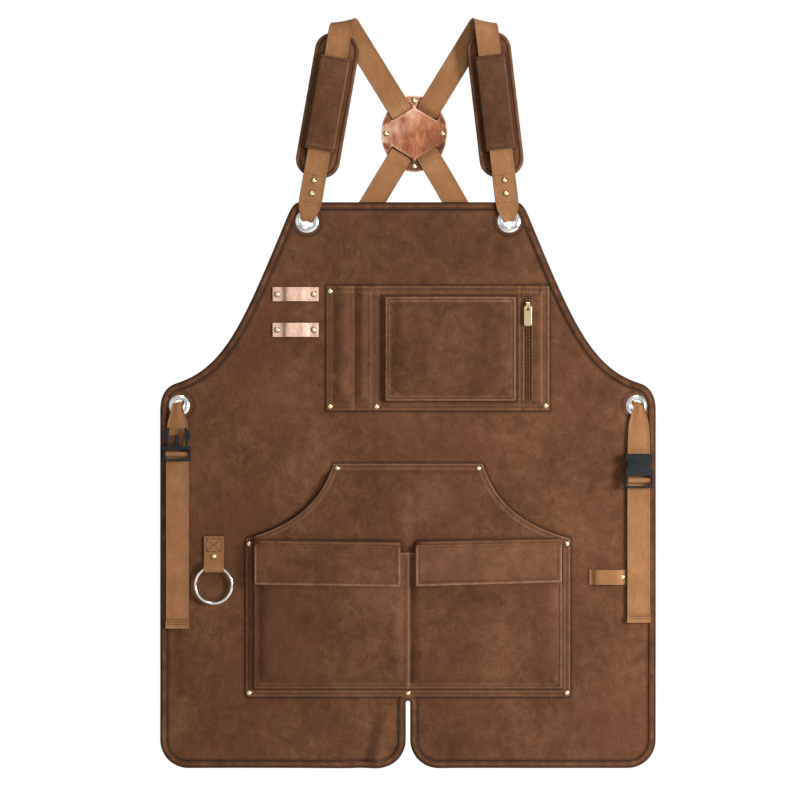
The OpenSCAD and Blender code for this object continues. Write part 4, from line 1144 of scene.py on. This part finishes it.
def eyelet_profile(r, f):
    return [(r - 1.2, -2.2), (r - 1.35, -0.5), (r - 1.1, 1.0), (r - 0.4, 2.0), (r + 0.9, 2.45), (r + 2.6, 2.2),
            (f - 1.8, 1.3), (f - 0.5, 0.7), (f, 0.1), (f - 0.2, -0.15), (r + 0.3, -0.1), (r + 0.1, -2.2)]


def washer_profile(r, f):
    return [(r + 0.1, -1.5), (f - 0.3, -1.5), (f, -1.8), (f - 0.5, -2.2), (r + 2.4, -2.6), (r + 0.8, -3.1),
            (r - 0.6, -3.0), (r - 1.15, -2.4), (r - 0.9, -1.9)]


# Painted shade inside the barrel and under the flange, and a painted highlight on the rolled crown and the
# outer lip; the washers are painted dark where they meet the canvas and inside the hole, and lighter on their
# face
EYELET_TONES = [-0.5, -0.4, -0.1, 0.2, 0.3, 0.0, -0.1, 0.1, 0.2, -0.8, -0.9, -0.5]
WASHER_TONES = [-0.8, -0.8, 0.0, 0.1, 0.1, 0.3, 0.0, -0.3, -0.6]
for piece, node, profile_of, tones in (("eyelet_rings", "eyelets", eyelet_profile, EYELET_TONES),
                                       ("eyelet_washers", "washers", washer_profile, WASHER_TONES)):
    for end, pair in (("bib", EYELETS[:2]), ("waist", EYELETS[2:])):
        part = Part()
        for x, z, hole, flange in pair:
            turn(part, profile_of(hole, flange), tones, (x, at((x, z)), z), 56, closed=True)
        part.build(f"{end}_{piece}", NICKEL, ROOT, [f"{end}_{node}"])


# ---- Leather tool loops and webbing hammer loop ----
HIDE_SECTION = [
    (-1.0, 0.0, 0.3), (-0.985, 0.7, 0.55), (-0.93, 0.98, 0.35), (-0.84, 1.0, -0.05), (-0.5, 1.0, 0.0),
    (-0.2, 1.0, 0.05), (0.2, 1.0, 0.05), (0.5, 1.0, 0.0), (0.84, 1.0, -0.05), (0.93, 0.98, 0.35),
    (0.985, 0.7, 0.55), (1.0, 0.0, 0.3)]
HIDE_SECTION += [(u, -v, c) for u, v, c in HIDE_SECTION[-2:0:-1]]
LOOP_LENGTH = 66.0


def arched(box, section, end, rise, thick, tone=None, seed=0.0):
    """A strip flat on the panel at both ends and standing off it between."""
    x0, x1, zc, back = box.x0, box.x1, box.mid_z, thick / 2
    pts = [(x0, back), (x0 + end * 0.8, back), (x0 + end + 1.5, back + rise * 0.22),
           (x0 + end + 5, back + rise * 0.8), (x0 + end + 9, back + rise), (box.mid_x, back + rise)]
    pts += [(x0 + x1 - x, y) for x, y in pts[-2::-1]]
    part = Part()
    sweep(part, [((x, at((x, zc)) - y, zc), (0, 0, 1), box.height, thick) for x, y in pts], section, step=1.5,
          full=box.height, tone=tone, start=seed)
    return part


def leather_loop(place, seed):
    """One tool loop. Gives its rivets' places."""
    def ends_and_bend_shade(s, u):
        # Lighter at the cut ends with wear and lighter in the middle, with painted shade at the two bends
        along = (s - seed) / LOOP_LENGTH
        ends = bell(along, 0.0, 0.02) + bell(along, 1.0, 0.02)
        bends = bell(along, 0.27, 0.035) + bell(along, 0.73, 0.035)
        return 0.5 * ends - 0.25 * bends + 0.25 * bell(along, 0.5, 0.12)

    box = Rect(f"{place}_tool_loop")
    part = arched(box, HIDE_SECTION, 14, 4.9, 2.0, ends_and_bend_shade, seed)
    part.build(f"{place}_leather_loop", HIDE, ROOT, [f"{place}_tool_loop"])
    return [through(x, box.mid_z, 1.95) for x in (box.x0 + 6.5, box.x1 - 6.5)]


rivets("tool_loop_rivet_set", "tool_loop_rivets", leather_loop("upper", 0.0) + leather_loop("lower", 90.0))

HAMMER = Rect("hammer_loop")
arched(HAMMER, WEB_LOOP, 4.6, 4.9, 1.3).build("hammer_loop_webbing", WEB, ROOT, ["hammer_loop"])
rivets("hammer_loop_rivet_head", "hammer_loop_rivet", [through(HAMMER.x1 - 5.3, HAMMER.mid_z, 1.25)])
tan = Part()
for x in (HAMMER.x0 + 2.2, HAMMER.x1 - 1.5, HAMMER.x1 - 9.5):
    rows_on(tan, [(x, HAMMER.z0 + 2), (x, HAMMER.z1 - 2)], lambda Q: drape(Q) - 1.25, pitch=3.2, length=2.2)

# ---- Ring tab and towel ring ----
TAB, TAB_T, TAB_RIVET_Z = Rect("ring_tab"), 1.3, -736
TUNNEL_Y, TUNNEL_Z, TUNNEL_R = -5.9, -752.0, 5.15
BEHIND_Y = -TAB_T / 2
here = at((TAB.mid_x, TAB_RIVET_Z))


def tab_path():
    """Places (y, z) down the tab's front layer, round the tunnel and up behind."""
    path = [(-1.5 * TAB_T, TAB.z1), (-1.5 * TAB_T, TAB.z1 - 10), (-1.5 * TAB_T, TUNNEL_Z + 16),
            (-2.1, TUNNEL_Z + 11), (-5.2, TUNNEL_Z + 7.6), (-9.0, TUNNEL_Z + 4.4)]
    turns = [math.radians(a) for a in range(-10, 171, 15)]
    path += [(TUNNEL_Y - TUNNEL_R * math.cos(a), TUNNEL_Z - TUNNEL_R * math.sin(a)) for a in turns]
    path += [(-0.75, TUNNEL_Z + 4.5)]
    return path + [(BEHIND_Y, z) for z in (TUNNEL_Z + 10, TAB.z1 - 10, TAB.z1)]


tab = Part()
sweep(tab, [((TAB.mid_x, y + here, z), (1, 0, 0), TAB.width, TAB_T) for y, z in tab_path()], step=2.0,
      full=TAB.width)
tab.build("ring_tab_webbing", WEB, ROOT, ["ring_tab"])
rivets("ring_tab_rivet_head", "ring_tab_rivet", [
    (TAB.mid_x, TAB_RIVET_Z, here - 2 * TAB_T + 0.05, here + CANVAS_T)])
upper_left, upper_right, lower_right, lower_left = [
    (TAB.mid_x + dx, TAB.z1 - drop) for dx, drop in ((-10, 3), (10, 3), (10, 21), (-10, 21))]
for points, closed in (((upper_left, upper_right, lower_right, lower_left), True),
                       ((upper_left, lower_right), False), ((upper_right, lower_left), False)):
    rows_on(tan, points, level(here - 2 * TAB_T), closed, pitch=3.0, length=2.6, r=0.6)


def wire_ring(lo, hi, n=120, m=20):
    """A ring of round wire that fills a box facing the front."""
    centre, wire = (lo + hi) / 2, (hi[1] - lo[1]) / 2
    mean = (hi[0] - lo[0]) / 2 - wire
    verts = []
    for i in range(n):
        a = 2 * math.pi * i / n
        for k in range(m):
            b = 2 * math.pi * k / m
            r = mean + wire * math.cos(b)
            verts.append(centre + [r * math.cos(a), wire * math.sin(b), r * math.sin(a)])
    return verts, tube(n, m, loop=True)


ring = Part()
ring.add(*wire_ring(*box_mm("towel_ring")))
ring.build("towel_ring_wire", NICKEL, "towel_ring", ["towel_ring"])

# ---- Waist straps: gathered in the eyelet, and flat below it ----
TIE_X, TIE_Y, TIE_T, TIE_W = 318.0, -3.7, 1.8, 32
TIE_TOP = -528.5
# (drop below the eyelet, width) where the strap widens
GATHER = [(0, 15), (-7, 18), (-22, 27), (-40, 30), (-62, 31.4), (-90, 32)]
TAIL = 13.0


def waist_strap(side, s):
    x, low = s * TIE_X, box_mm(f"{side}_waist_strap")[0][2]
    across_x = (1, 0, 0)
    rows = [((x - s * 2.4, TIE_Y + 4.6, TIE_TOP + 4.5), across_x, 13.5, 2.6),
            ((x - s * 1.8, TIE_Y + 2.2, TIE_TOP + 2.6), across_x, 14.0, 2.6)]
    rows += [((x, TIE_Y, TIE_TOP + dz), across_x, w, 2.3 if w < 28 else TIE_T) for dz, w in GATHER]
    rows += [((x, TIE_Y, z), across_x, TIE_W, TIE_T) for z in (-660, -740, low + 20, low + 0.8)]
    part = Part()
    sweep(part, rows, bow=1.7, wave=0.12)
    # The end is turned up in front and sewn, with painted shade under its top edge and lighter at the fold
    turned_up = [((x, TIE_Y + dy, low + dz), across_x, w, t) for dy, dz, w, t in (
        (-0.9, 0.85, 32.6, 1.6), (-1.75, 2.4, 32.8, 1.6), (-1.72, 7, 32.8, 1.5), (-1.68, TAIL, 32.6, 1.4))]
    sweep(part, turned_up, step=2, tone=lambda s, u: -0.85 * bell(s, 14.0, 1.6) + 0.25 * bell(s, 2.5, 2.0))
    strap = part.build(f"{side}_waist_webbing", WEB, None, [f"{side}_waist_strap"])
    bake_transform(strap)
    tail = Part()
    for z in (low + TAIL - 3, low + TAIL - 6.5):
        rows_on(tail, [(x - 14.5, z), (x + 14.5, z)], level(TIE_Y - 2.35), pitch=3.0, length=2.6, r=0.6)
    tail.build(f"{side}_tail_stitches", THREAD_TAN, f"{side}_tie")


waist_strap("left", -1)
waist_strap("right", 1)

# ---- Buckle: webbing bights and moulded halves ----
BUCKLE_MID, BAR_R, BIGHT_T = -10.1, 2.2, 1.8


def bight(side, s):
    """The webbing that holds a buckle half: round its bar and back."""
    z = Rect(f"{side}_bight").mid_z
    r = BAR_R + BIGHT_T / 2 + 0.05
    turns = [math.radians(a) for a in range(10, 171, 16)]
    path = [(-5.3, r), (-8.2, r)] + [(BUCKLE_MID - r * math.sin(a), r * math.cos(a)) for a in turns]
    path += [(-8.2, -r), (-5.3, -r)]
    part = Part()
    sweep(part, [((s * TIE_X, y, z + dz), (1, 0, 0), 31.6, BIGHT_T - 0.1) for y, dz in path], step=1.2)
    part.build(f"{side}_bight_webbing", WEB, f"{side}_buckle", [f"{side}_bight"])


bight("left", -1)
bight("right", 1)


def rubbed(verts):
    return 0.10 * np.array([noise.noise(Vector(v) / 5) for v in verts])


for name, node, body, bevel in (
        ("buckle_male_half", "male_buckle", "left_buckle", 0.55),
        ("buckle_outer_prong", "outer_prong", "outer_prong", 0.5),
        ("buckle_inner_prong", "inner_prong", "inner_prong", 0.5),
        ("buckle_female_half", "female_buckle", "right_buckle", 0.6)):
    cad_copy(name, node, PLASTIC, body, bevel, 3, rubbed)

# ---- Zip ----
TAPE_FRONT, TAPE_BACK = -6.0, -5.2
# (distance from the zip's middle, how far the woven edge stands up)
TAPE_SECTION = [(0.5, 0.25), (1.2, 0.3), (2.6, 0.05), (5.5, 0.0), (9.0, 0.0)]


def zip_tape(part, s, steps=90):
    outline = [(x, TAPE_FRONT - lift) for x, lift in TAPE_SECTION]
    outline += [(x, TAPE_BACK) for x, _ in TAPE_SECTION[::-1]]
    verts, rest, shade = [], [], []
    for i in range(steps + 1):
        z = ZIP_Z0 + (ZIP_Z1 - ZIP_Z0) * i / steps
        verts += [[ZIP_X + s * x, y, z] for x, y in outline]
        rest += [[x, z, 0] for x, _ in outline]
        shade += [0.3 if x < 1.5 else 0.0 for x, _ in outline]
    part.add(verts, tube(steps + 1, len(outline)), rest, shade)


tapes = Part()
zip_tape(tapes, -1)
zip_tape(tapes, 1)
tapes.build("zip_tape_pair", TAPE, ROOT, ["zip_tapes"])
cad_copy("zip_teeth_rows", "zip_teeth", ANTIQUE, ROOT)
cad_copy("zip_end_stops", "zip_stops", ANTIQUE, ROOT)
cad_copy("zip_slider_body", "zip_slider", ANTIQUE, "zip_slider", segments=3)


def pull_tone(verts):
    lo, hi = verts.min(0), verts.max(0)
    rim = np.minimum(verts[:, 0] - lo[0], hi[0] - verts[:, 0])
    # Lighter overall, with a painted highlight along the pull's two long edges
    return 0.6 * bell(rim, 0, 0.6) + 0.1


cad_copy("zip_pull_tab", "zip_pull", BRASS, "zip_pull", 0.35, 3, pull_tone)

# ---- Shoulder webbing ----
WEB_W, WEB_T, BEND_R = 32.0, 2.0, 12.0
SHIFT, TOP_X, BEND_Z = 7.7, 100.8, -11.0
PLATE = np.array([SHIFT + 1, -151.2])
PLATE_Y, RIM_Y, FRONT_Y = 9.0, 7.7, -3.2
LEAN = (BEND_R + FRONT_Y) / math.hypot(TOP_X - BIB_EYE[0], BIB_EYE[1])


def bottom(s):
    """The bib eyelet that a strap starts from. s is -1 for the left strap and 1 for the right."""
    return np.array([s * BIB_EYE[0], BIB_EYE[1]])


def bend_start(s):
    """Where the strap starts to bend over backwards."""
    return np.array([SHIFT + s * TOP_X, BEND_Z])


def up(s):
    return unit(bend_start(s) - bottom(s))


def across(d):
    return np.array([d[1], 0, -d[0]])


def fold(s, out):
    """The fold line, the way across it, and how far the strap drifts along it in the bend."""
    v = up(s) + out
    u = unit(v) if v[0] * s < 0 else -unit(v)
    n = np.array([u[1], -u[0]]) if u[0] < 0 else np.array([-u[1], u[0]])
    d = up(s)
    return u, n, u * (math.pi * BEND_R * (d @ u) / (d @ n))


def outward(s):
    """The direction from the bend down to the cross plate, found by repeating the fold."""
    o = unit(PLATE - bend_start(s))
    for _ in range(4):
        o = unit(PLATE - bend_start(s) - fold(s, o)[2])
    return o


def place(p, y):
    return np.array([p[0], y, p[1]])


def pass_y(s):
    """Inside the plate the left strap passes in front of the right one."""
    return PLATE_Y + (3.3 if s < 0 else 5.7)


def low_dir(s):
    return unit([-s * 45, -74])


def strap_rows(s):
    """A strap from its folded end at the bib, over the shoulder and through the plate to the waist."""
    d, b = up(s), bottom(s)
    wide = across(d)

    def front_y(q):
        return FRONT_Y - q * LEAN
    rows = []
    for q, y, w in ((66, front_y(66) + 2.1, 32), (52, front_y(52) + 2.1, 32), (38, front_y(38) + 2.15, 32),
                    (30, 2.6, 31), (25, 4.2, 30), (12, 4.6, 25), (5, 4.4, 20), (1.5, 2.6, 16.5),
                    (0.6, 0.6, 16), (1.5, -1.8, 16.5),
                    (5, -3.6, 20), (13, front_y(13), 27), (20, front_y(20), 30.5), (30, front_y(30), 32)):
        rows.append((place(b + d * q, y), wide, w, WEB_T if w > 24 else 2.4))
    for q in (60, 110, 160, 210, 250):
        rows.append((place(b + d * q, front_y(q)), wide, WEB_W, WEB_T))
    out = outward(s)
    u, n, drift = fold(s, out)
    start = bend_start(s)
    w = np.array([d[1], -d[0]])
    for i in range(15):
        a = math.pi * i / 14
        p = start + drift * i / 14 + n * BEND_R * math.sin(a)
        turn = u * (w @ u) + n * (w @ n) * math.cos(a)
        rows.append((place(p, -BEND_R * math.cos(a)), (turn[0], (w @ n) * math.sin(a), turn[1]), WEB_W, WEB_T))
    e = start + drift
    length = np.linalg.norm(PLATE - e)
    wide = np.array([-out[1], 0, out[0]])
    for q, y in ((0.2 * length, 11.2), (length / 2, 10), (length - 53, RIM_Y), (length - 40, RIM_Y),
                 (length - 31, pass_y(s)), (length, pass_y(s))):
        rows.append((place(e + out * q, y), wide, WEB_W, WEB_T))
    low = low_dir(s)
    wide = np.array([-low[1], 0, low[0]])
    for q, y in ((31, pass_y(s)), (40, RIM_Y)):
        rows.append((place(PLATE + low * q, y), wide, WEB_W, WEB_T))
    curve = bezier([PLATE + low * 60, PLATE + low * 150, (-s * 175, -470),
                    (-s * (WAIST_EYE[0] - 17), WAIST_EYE[1] + 19)], 14)
    grad = np.gradient(curve, axis=0)
    for i, (p, g) in enumerate(zip(curve, grad)):
        v = unit(g)
        rows.append((place(p, max(5.2, RIM_Y - i)), (-v[1], 0, v[0]), 26 if i == 14 else WEB_W, WEB_T))
    for x, z, y, w in ((9, 11, 5.2, 19), (3.5, 4, 4.4, 16), (0.8, 0.5, 1.6, 15), (0, -0.6, -1.2, 15)):
        rows.append((np.array([-s * (WAIST_EYE[0] - x), y, WAIST_EYE[1] + z]), (-0.7, 0, -s * 0.7), w, 2.3))
    return rows


for side, s in (("left", -1), ("right", 1)):
    part = Part()
    sweep(part, strap_rows(s), bow=1.2, step=4.0, wave=0.10, start=s * 37.0)
    part.build(f"shoulder_webbing_{side}", WEB, ROOT, [f"{side}_shoulder_strap"])


def strap_face(q):
    """The y of a front strap's face, q up from its eyelet."""
    return FRONT_Y - q * LEAN - WEB_T / 2


# Two rivets and two rows of stitches close each strap's end
heads = Part()
for s in (-1, 1):
    for q in (38.5, 56.5):
        p = bottom(s) + up(s) * q
        rivet(heads, p[0], p[1], strap_face(q), strap_face(q) + 2 * WEB_T + 0.1)
    side_way = np.array([up(s)[1], -up(s)[0]])
    for q in (26.0, 64.5):
        ends = [bottom(s) + up(s) * q + side_way * k for k in (-14, 14)]
        rows_on(tan, ends, level(strap_face(q) + 0.05), pitch=3.0, length=2.2)
heads.build("strap_end_rivets", BRASS, ROOT, ["strap_rivets"])

# ---- Cross plate: an oval front with a slit for each strap end, and a whole oval behind ----
PLATE_BOX = Rect("cross_plate_front")
PLATE_A, PLATE_B = PLATE_BOX.width / 2, PLATE_BOX.height / 2
PLATE_T, LINING_GAP = 2.2, 7
plate_angles = np.radians(np.arange(0, 360, 4))
plate_loop = PLATE + np.stack([PLATE_A * np.cos(plate_angles), PLATE_B * np.sin(plate_angles)], 1)
SLIT_NEAR, SLIT_FAR = 31.0, 40.0
strap_axes = [outward(s) for s in (-1, 1)]
slits = []
for o in strap_axes:
    wide, deep = np.array([-o[1], o[0]]) * (WEB_W / 2 + 1), o * (SLIT_FAR - SLIT_NEAR) / 2
    for end in (-1, 1):
        c = PLATE + o * end * (SLIT_NEAR + SLIT_FAR) / 2
        slits.append(np.array([c - wide - deep, c + wide - deep, c + wide + deep, c - wide + deep]))


def diamond(P):
    """How far inside the four slits a point is."""
    q = np.abs((P - PLATE) @ np.array(strap_axes).T)
    return SLIT_NEAR - q.max(1)


def plate_front(P, d):
    inner = diamond(P)
    far = np.hypot((P[:, 0] - PLATE[0]) / PLATE_A, (P[:, 1] - PLATE[1]) / PLATE_B)
    y = PLATE_Y - 1.7 * smooth(inner / 9) * smooth((0.80 - far) / 0.2)
    under = np.zeros(len(P))
    for o in strap_axes:
        rel = (P - PLATE)
        along, side = np.abs(rel @ o), np.abs(rel @ np.array([-o[1], o[0]]))
        under = np.maximum(under, smooth((along - 38) / 4) * (1 - smooth((side - 15) / 5)))
    return y + 0.5 * under + 0.25 * wob(P, 16, 4.0)


def plate_tone(P, d):
    rim = line_dist(P, [plate_loop])
    t = 0.7 * bell(rim, 0, 1.4) - 0.35 * bell(rim, 3.4, 0.8)
    # The slits' inner edges are lighter, and painted shade darkens the leather round the slits where the straps
    # tuck under
    t = t + 0.5 * bell(diamond(P), 0.5, 1.2) - 0.6 * bell(diamond(P), -4.5, 3.0)
    # A painted highlight, the reflection of a lamp, on the upper left, and painted shade on the lower right
    lean = ((P[:, 0] - PLATE[0]) * 0.7 - (P[:, 1] - PLATE[1]) * 0.7) / PLATE_A
    t = t + 0.75 * bell(lean, -0.55, 0.28) * (0.6 + 0.8 * wob(P, 14, 2.0))
    return t - 0.55 * smooth((lean - 0.25) / 0.5)


cloth("cross_plate_face", [plate_loop] + slits, plate_front, PLATE_T, LEATHER, ROOT, ["cross_plate_front"],
      rings=(0.5, 1.6, 3.4, 5), pitch=4, edge=2.5, tone=plate_tone)
cloth("cross_plate_lining", [plate_loop], lambda P, d: PLATE_Y + LINING_GAP + 0.2 * wob(P, 14, 9.0), PLATE_T,
      LEATHER, ROOT, ["cross_plate_back"], rings=(0.5, 1.6, 3.4, 5), pitch=4, edge=2.5,
      tone=lambda P, d: 0.6 * bell(d, 0, 1.4) - 0.35 * bell(d, 3.4, 0.8))
plate_spots = [(0, PLATE_B - 7), (0, 7 - PLATE_B), (PLATE_A - 6.5, 0), (6.5 - PLATE_A, 0)]
rivets("cross_plate_rivet_set", "cross_plate_rivets", [
    (PLATE[0] + x, PLATE[1] + z, PLATE_Y + 0.05, PLATE_Y + LINING_GAP + PLATE_T) for x, z in plate_spots])

# ---- Shoulder pads, in a front strap's frame: across, back, and up along the strap ----
PAD_W, PAD_L, PAD_T, PAD_R, PAD_LOW, PAD_FRONT = 61.0, 200.0, 8.4, 24.0, 62.0, 4.6
PAD_MID_Z, PAD_MID_Y = PAD_LOW + PAD_L / 2, PAD_FRONT + PAD_T / 2
BIND = 1.6
SLEEVE_W, SLEEVE_L, SLEEVE_LOW, SLEEVE_FRONT = 42.0, 130.0, 99.0, -2.75
SLEEVE_TOP = SLEEVE_LOW + SLEEVE_L
# The swelling: remeshed at VOXEL m, blown up at PRESSURE for STEPS frames, and moved REACH m at the most
VOXEL, PRESSURE, STEPS, REACH, HELD_RIM = 0.004, 4.0, 20, 0.0035, 3.5


def on_strap(s):
    """Puts points of a front strap's frame in the apron's frame."""
    d, b = up(s), bottom(s)
    sideways, backwards = math.atan2(d[0], d[1]), math.atan(LEAN)
    turned = np.array(Matrix.Rotation(sideways, 3, "Y") @ Matrix.Rotation(backwards, 3, "X"))
    return lambda v: v @ turned.T + np.array([b[0], FRONT_Y, b[1]])


def pad_outline(shrink):
    w, l = PAD_W / 2 - shrink, PAD_L / 2 - shrink
    return rect_loop(-w, w, PAD_MID_Z - l, PAD_MID_Z + l, PAD_R - shrink, steps=8)


def pad_start():
    """The pad before it swells: two faces that close on a thin rim."""
    return cloth_mesh([refine(pad_outline(BIND - 0.4), 5)], lambda P, d: PAD_MID_Y - 2.3 - 0.8 * smooth(d / 8),
                      lambda P, d: 4.6 + 1.6 * smooth(d / 8), rings=(1.5, 4), pitch=5, edge=5)


def applied(ob):
    """The object's mesh with its modifiers applied."""
    return bpy.data.meshes.new_from_object(ob.evaluated_get(bpy.context.evaluated_depsgraph_get()))


def points_of(mesh):
    return np.array([v.co for v in mesh.vertices])


def swell(verts, faces):
    """Blows a closed shape up with the cloth solver, holding its rim."""
    start = bpy.data.meshes.new("pad_sim")
    start.from_pydata((np.array(verts) * MM).tolist(), [], faces)
    ob = bpy.data.objects.new("pad_sim", start)
    scene.collection.objects.link(ob)
    ob.modifiers.new("remesh", "REMESH").voxel_size = VOXEL
    even = applied(ob)
    ob.modifiers.clear()
    ob.data = even
    before = points_of(even)
    rim = line_dist(before[:, [0, 2]] * 1000, [refine(pad_outline(BIND), 4)])
    group = ob.vertex_groups.new(name="rim")
    for i in np.nonzero(rim < HELD_RIM)[0]:
        group.add([int(i)], 1.0, "REPLACE")
    mod = ob.modifiers.new("cloth", "CLOTH")
    mod.settings.use_pressure = True
    mod.settings.uniform_pressure_force = PRESSURE
    mod.settings.effector_weights.gravity = 0
    mod.settings.vertex_group_mass = "rim"
    mod.settings.quality = 6
    mod.point_cache.frame_start, mod.point_cache.frame_end = 1, STEPS
    for step in range(1, STEPS + 1):
        scene.frame_set(step)
    moved = points_of(applied(ob)) - before
    scene.frame_set(1)
    moved *= np.minimum(1, REACH / np.maximum(np.linalg.norm(moved, axis=1), 1e-9))[:, None]
    even.vertices.foreach_set("co", (before + moved).astype(np.float32).ravel())
    ob.modifiers.clear()
    ob.modifiers.new("sub", "SUBSURF").levels = 1
    last = applied(ob)
    bpy.data.objects.remove(ob)
    return points_of(last) * 1000, [list(p.vertices) for p in last.polygons]


def pad_cushion():
    """The cushion's mesh and tone, flattened where the strap and the sleeve lie on it. The tone has painted
    shade next to the binding and round the sleeve, and is lighter on the swell.
    """
    verts, faces, _ = pad_start()
    verts, faces = swell(verts, faces)
    front = verts[:, 1] < PAD_MID_Y
    too_proud = (verts[:, 1] < PAD_FRONT + 0.1) & (np.abs(verts[:, 0]) < 20)
    verts[too_proud, 1] = PAD_FRONT + 0.1
    P = verts[:, [0, 2]]
    rim = line_dist(P, [refine(pad_outline(BIND), 4)])
    tone = -0.35 * bell(rim, 3.0, 2.0) + 0.35 * bell(rim, 7, 4) + 0.15 * wob(P, 10, 1.0)
    near_sleeve = rect_dist(P, [(-21, 21, SLEEVE_LOW, SLEEVE_TOP)])
    return verts, faces, tone - np.where(front, 0.7 * bell(near_sleeve, 0, 2.2), 0)


# (distance in from the rim, y about the pad's middle, tone). The tone is painted shade on the binding's edges
# and lighter on its crown.
BIND_SECTION = [
    (5.6, -2.0, -0.7), (5.0, -2.9, -0.4), (3.8, -3.4, 0.1), (2.0, -3.5, 0.4), (0.6, -2.9, 0.1),
    (0.0, -1.2, -0.5), (0.0, 1.2, -0.5), (0.6, 2.9, 0.1), (2.0, 3.5, 0.4), (3.8, 3.4, 0.1),
    (5.0, 2.9, -0.4), (5.6, 2.0, -0.7)]
# Across the sleeve: share of its half width, and y
SLEEVE_SECTION = [
    (-1.02, 3.7), (-1.0, 1.2), (-0.97, -0.9), (-0.90, -2.1), (-0.75, -2.6), (-0.4, -2.75), (0, -2.8),
    (0.4, -2.75), (0.75, -2.6), (0.90, -2.1), (0.97, -0.9), (1.0, 1.2), (1.02, 3.7)]


def sleeve_band(s, steps=44):
    """A band with turned edges, sewn down each long side. Its tone is painted shade on the turned edges, the
    stitch grooves, the end grooves and the inner face, and lighter on the folds.
    """
    half, m = len(SLEEVE_SECTION), 2 * len(SLEEVE_SECTION)
    verts, shade = [], []
    for i in range(steps + 1):
        z = SLEEVE_LOW + SLEEVE_L * i / steps
        end = min(i, steps - i) / steps * SLEEVE_L
        end_tone = 0.55 * bell(end, 0.6, 0.9) - 0.5 * bell(end, 3.2, 0.8) + 0.25 * bell(end, 5.2, 1.2)
        outer, inner = [], []
        for u, y in SLEEVE_SECTION:
            ripple = 0.25 * noise.noise(Vector((u * 2, z / 14, s * 2.0))) * (abs(u) < 0.95)
            outer.append([u * SLEEVE_W / 2, y + ripple, z])
            inner.append([u * (SLEEVE_W / 2 - 1.0), y + 0.9 + ripple if abs(u) < 0.99 else y, z])
            side_tone = -0.7 * (abs(u) > 0.985) + 0.35 * bell(abs(u), 0.93, 0.04)
            side_tone = side_tone - 0.4 * bell(abs(u), 0.84, 0.03)
            # The right sleeve is darkened with painted shade
            shade.append(end_tone * (abs(u) < 0.98) + side_tone - (0.22 if s > 0 else 0.0))
        verts += outer + inner[::-1]
        shade += [-0.8] * half
    faces = tube(steps + 1, m)[:-2]
    for first, flip in ((0, False), (steps * m, True)):
        for k in range(half - 1):
            q = [first + k, first + k + 1, first + m - 2 - k, first + m - 1 - k]
            faces.append(q if flip else q[::-1])
    return verts, faces, shade


def pad_stitches(rim_loop):
    """Stitches down and across the sleeve, and round both faces of the pad."""
    run = Part()
    for x in (-17.6, 17.6):
        path = [(x, SLEEVE_FRONT, z) for z in np.arange(SLEEVE_LOW + 4, SLEEVE_TOP - 3, 3.0)]
        stitch_run(run, path, (0, -1, 0), pitch=3.6)
    for z in (SLEEVE_LOW + 3.2, SLEEVE_TOP - 3.2):
        stitch_run(run, [(x, SLEEVE_FRONT, z) for x in np.arange(-17.5, 18, 2.5)], (0, -1, 0), pitch=3.6)
    for way in (-1, 1):
        path = [(x, PAD_MID_Y + way * 3.3, z) for x, z in inset(rim_loop, 4.3)]
        stitch_run(run, path, (0, way, 0), pitch=3.6, closed=True)
    return run


pad_verts, pad_faces, pad_tone = pad_cushion()
for side, s in (("left", -1), ("right", 1)):
    move, body = on_strap(s), f"{side}_pad"
    # The right pad is darkened with painted shade
    cushion = make(f"{side}_pad_cushion", move(pad_verts), pad_faces, CANVAS, body,
                   [f"{side}_pad_cover", f"{side}_pad_foam"], tone=pad_tone - (0.38 if s > 0 else 0.02))
    rim_loop = refine(pad_outline(0.0), 4)
    verts, faces, shade = around(rim_loop, BIND_SECTION, lambda P: np.zeros(len(P)), seed=s * 3.0, ripple=0.1)
    make(f"{side}_pad_edge_binding", move(np.array(verts) + [0, PAD_MID_Y, 0]), faces, CANVAS_DARK, body,
         [f"{side}_pad_binding"], tone=shade)
    verts, faces, shade = sleeve_band(s)
    make(f"{side}_pad_strap_sleeve", move(np.array(verts)), faces, CANVAS, body, [f"{side}_pad_sleeve"],
         rest=verts, tone=shade)
    pad_stitches(rim_loop).build(f"{side}_pad_stitches", THREAD, body, place=move)

stitches.build("canvas_stitches", THREAD, ROOT)
tan.build("webbing_stitches", THREAD_TAN, ROOT)
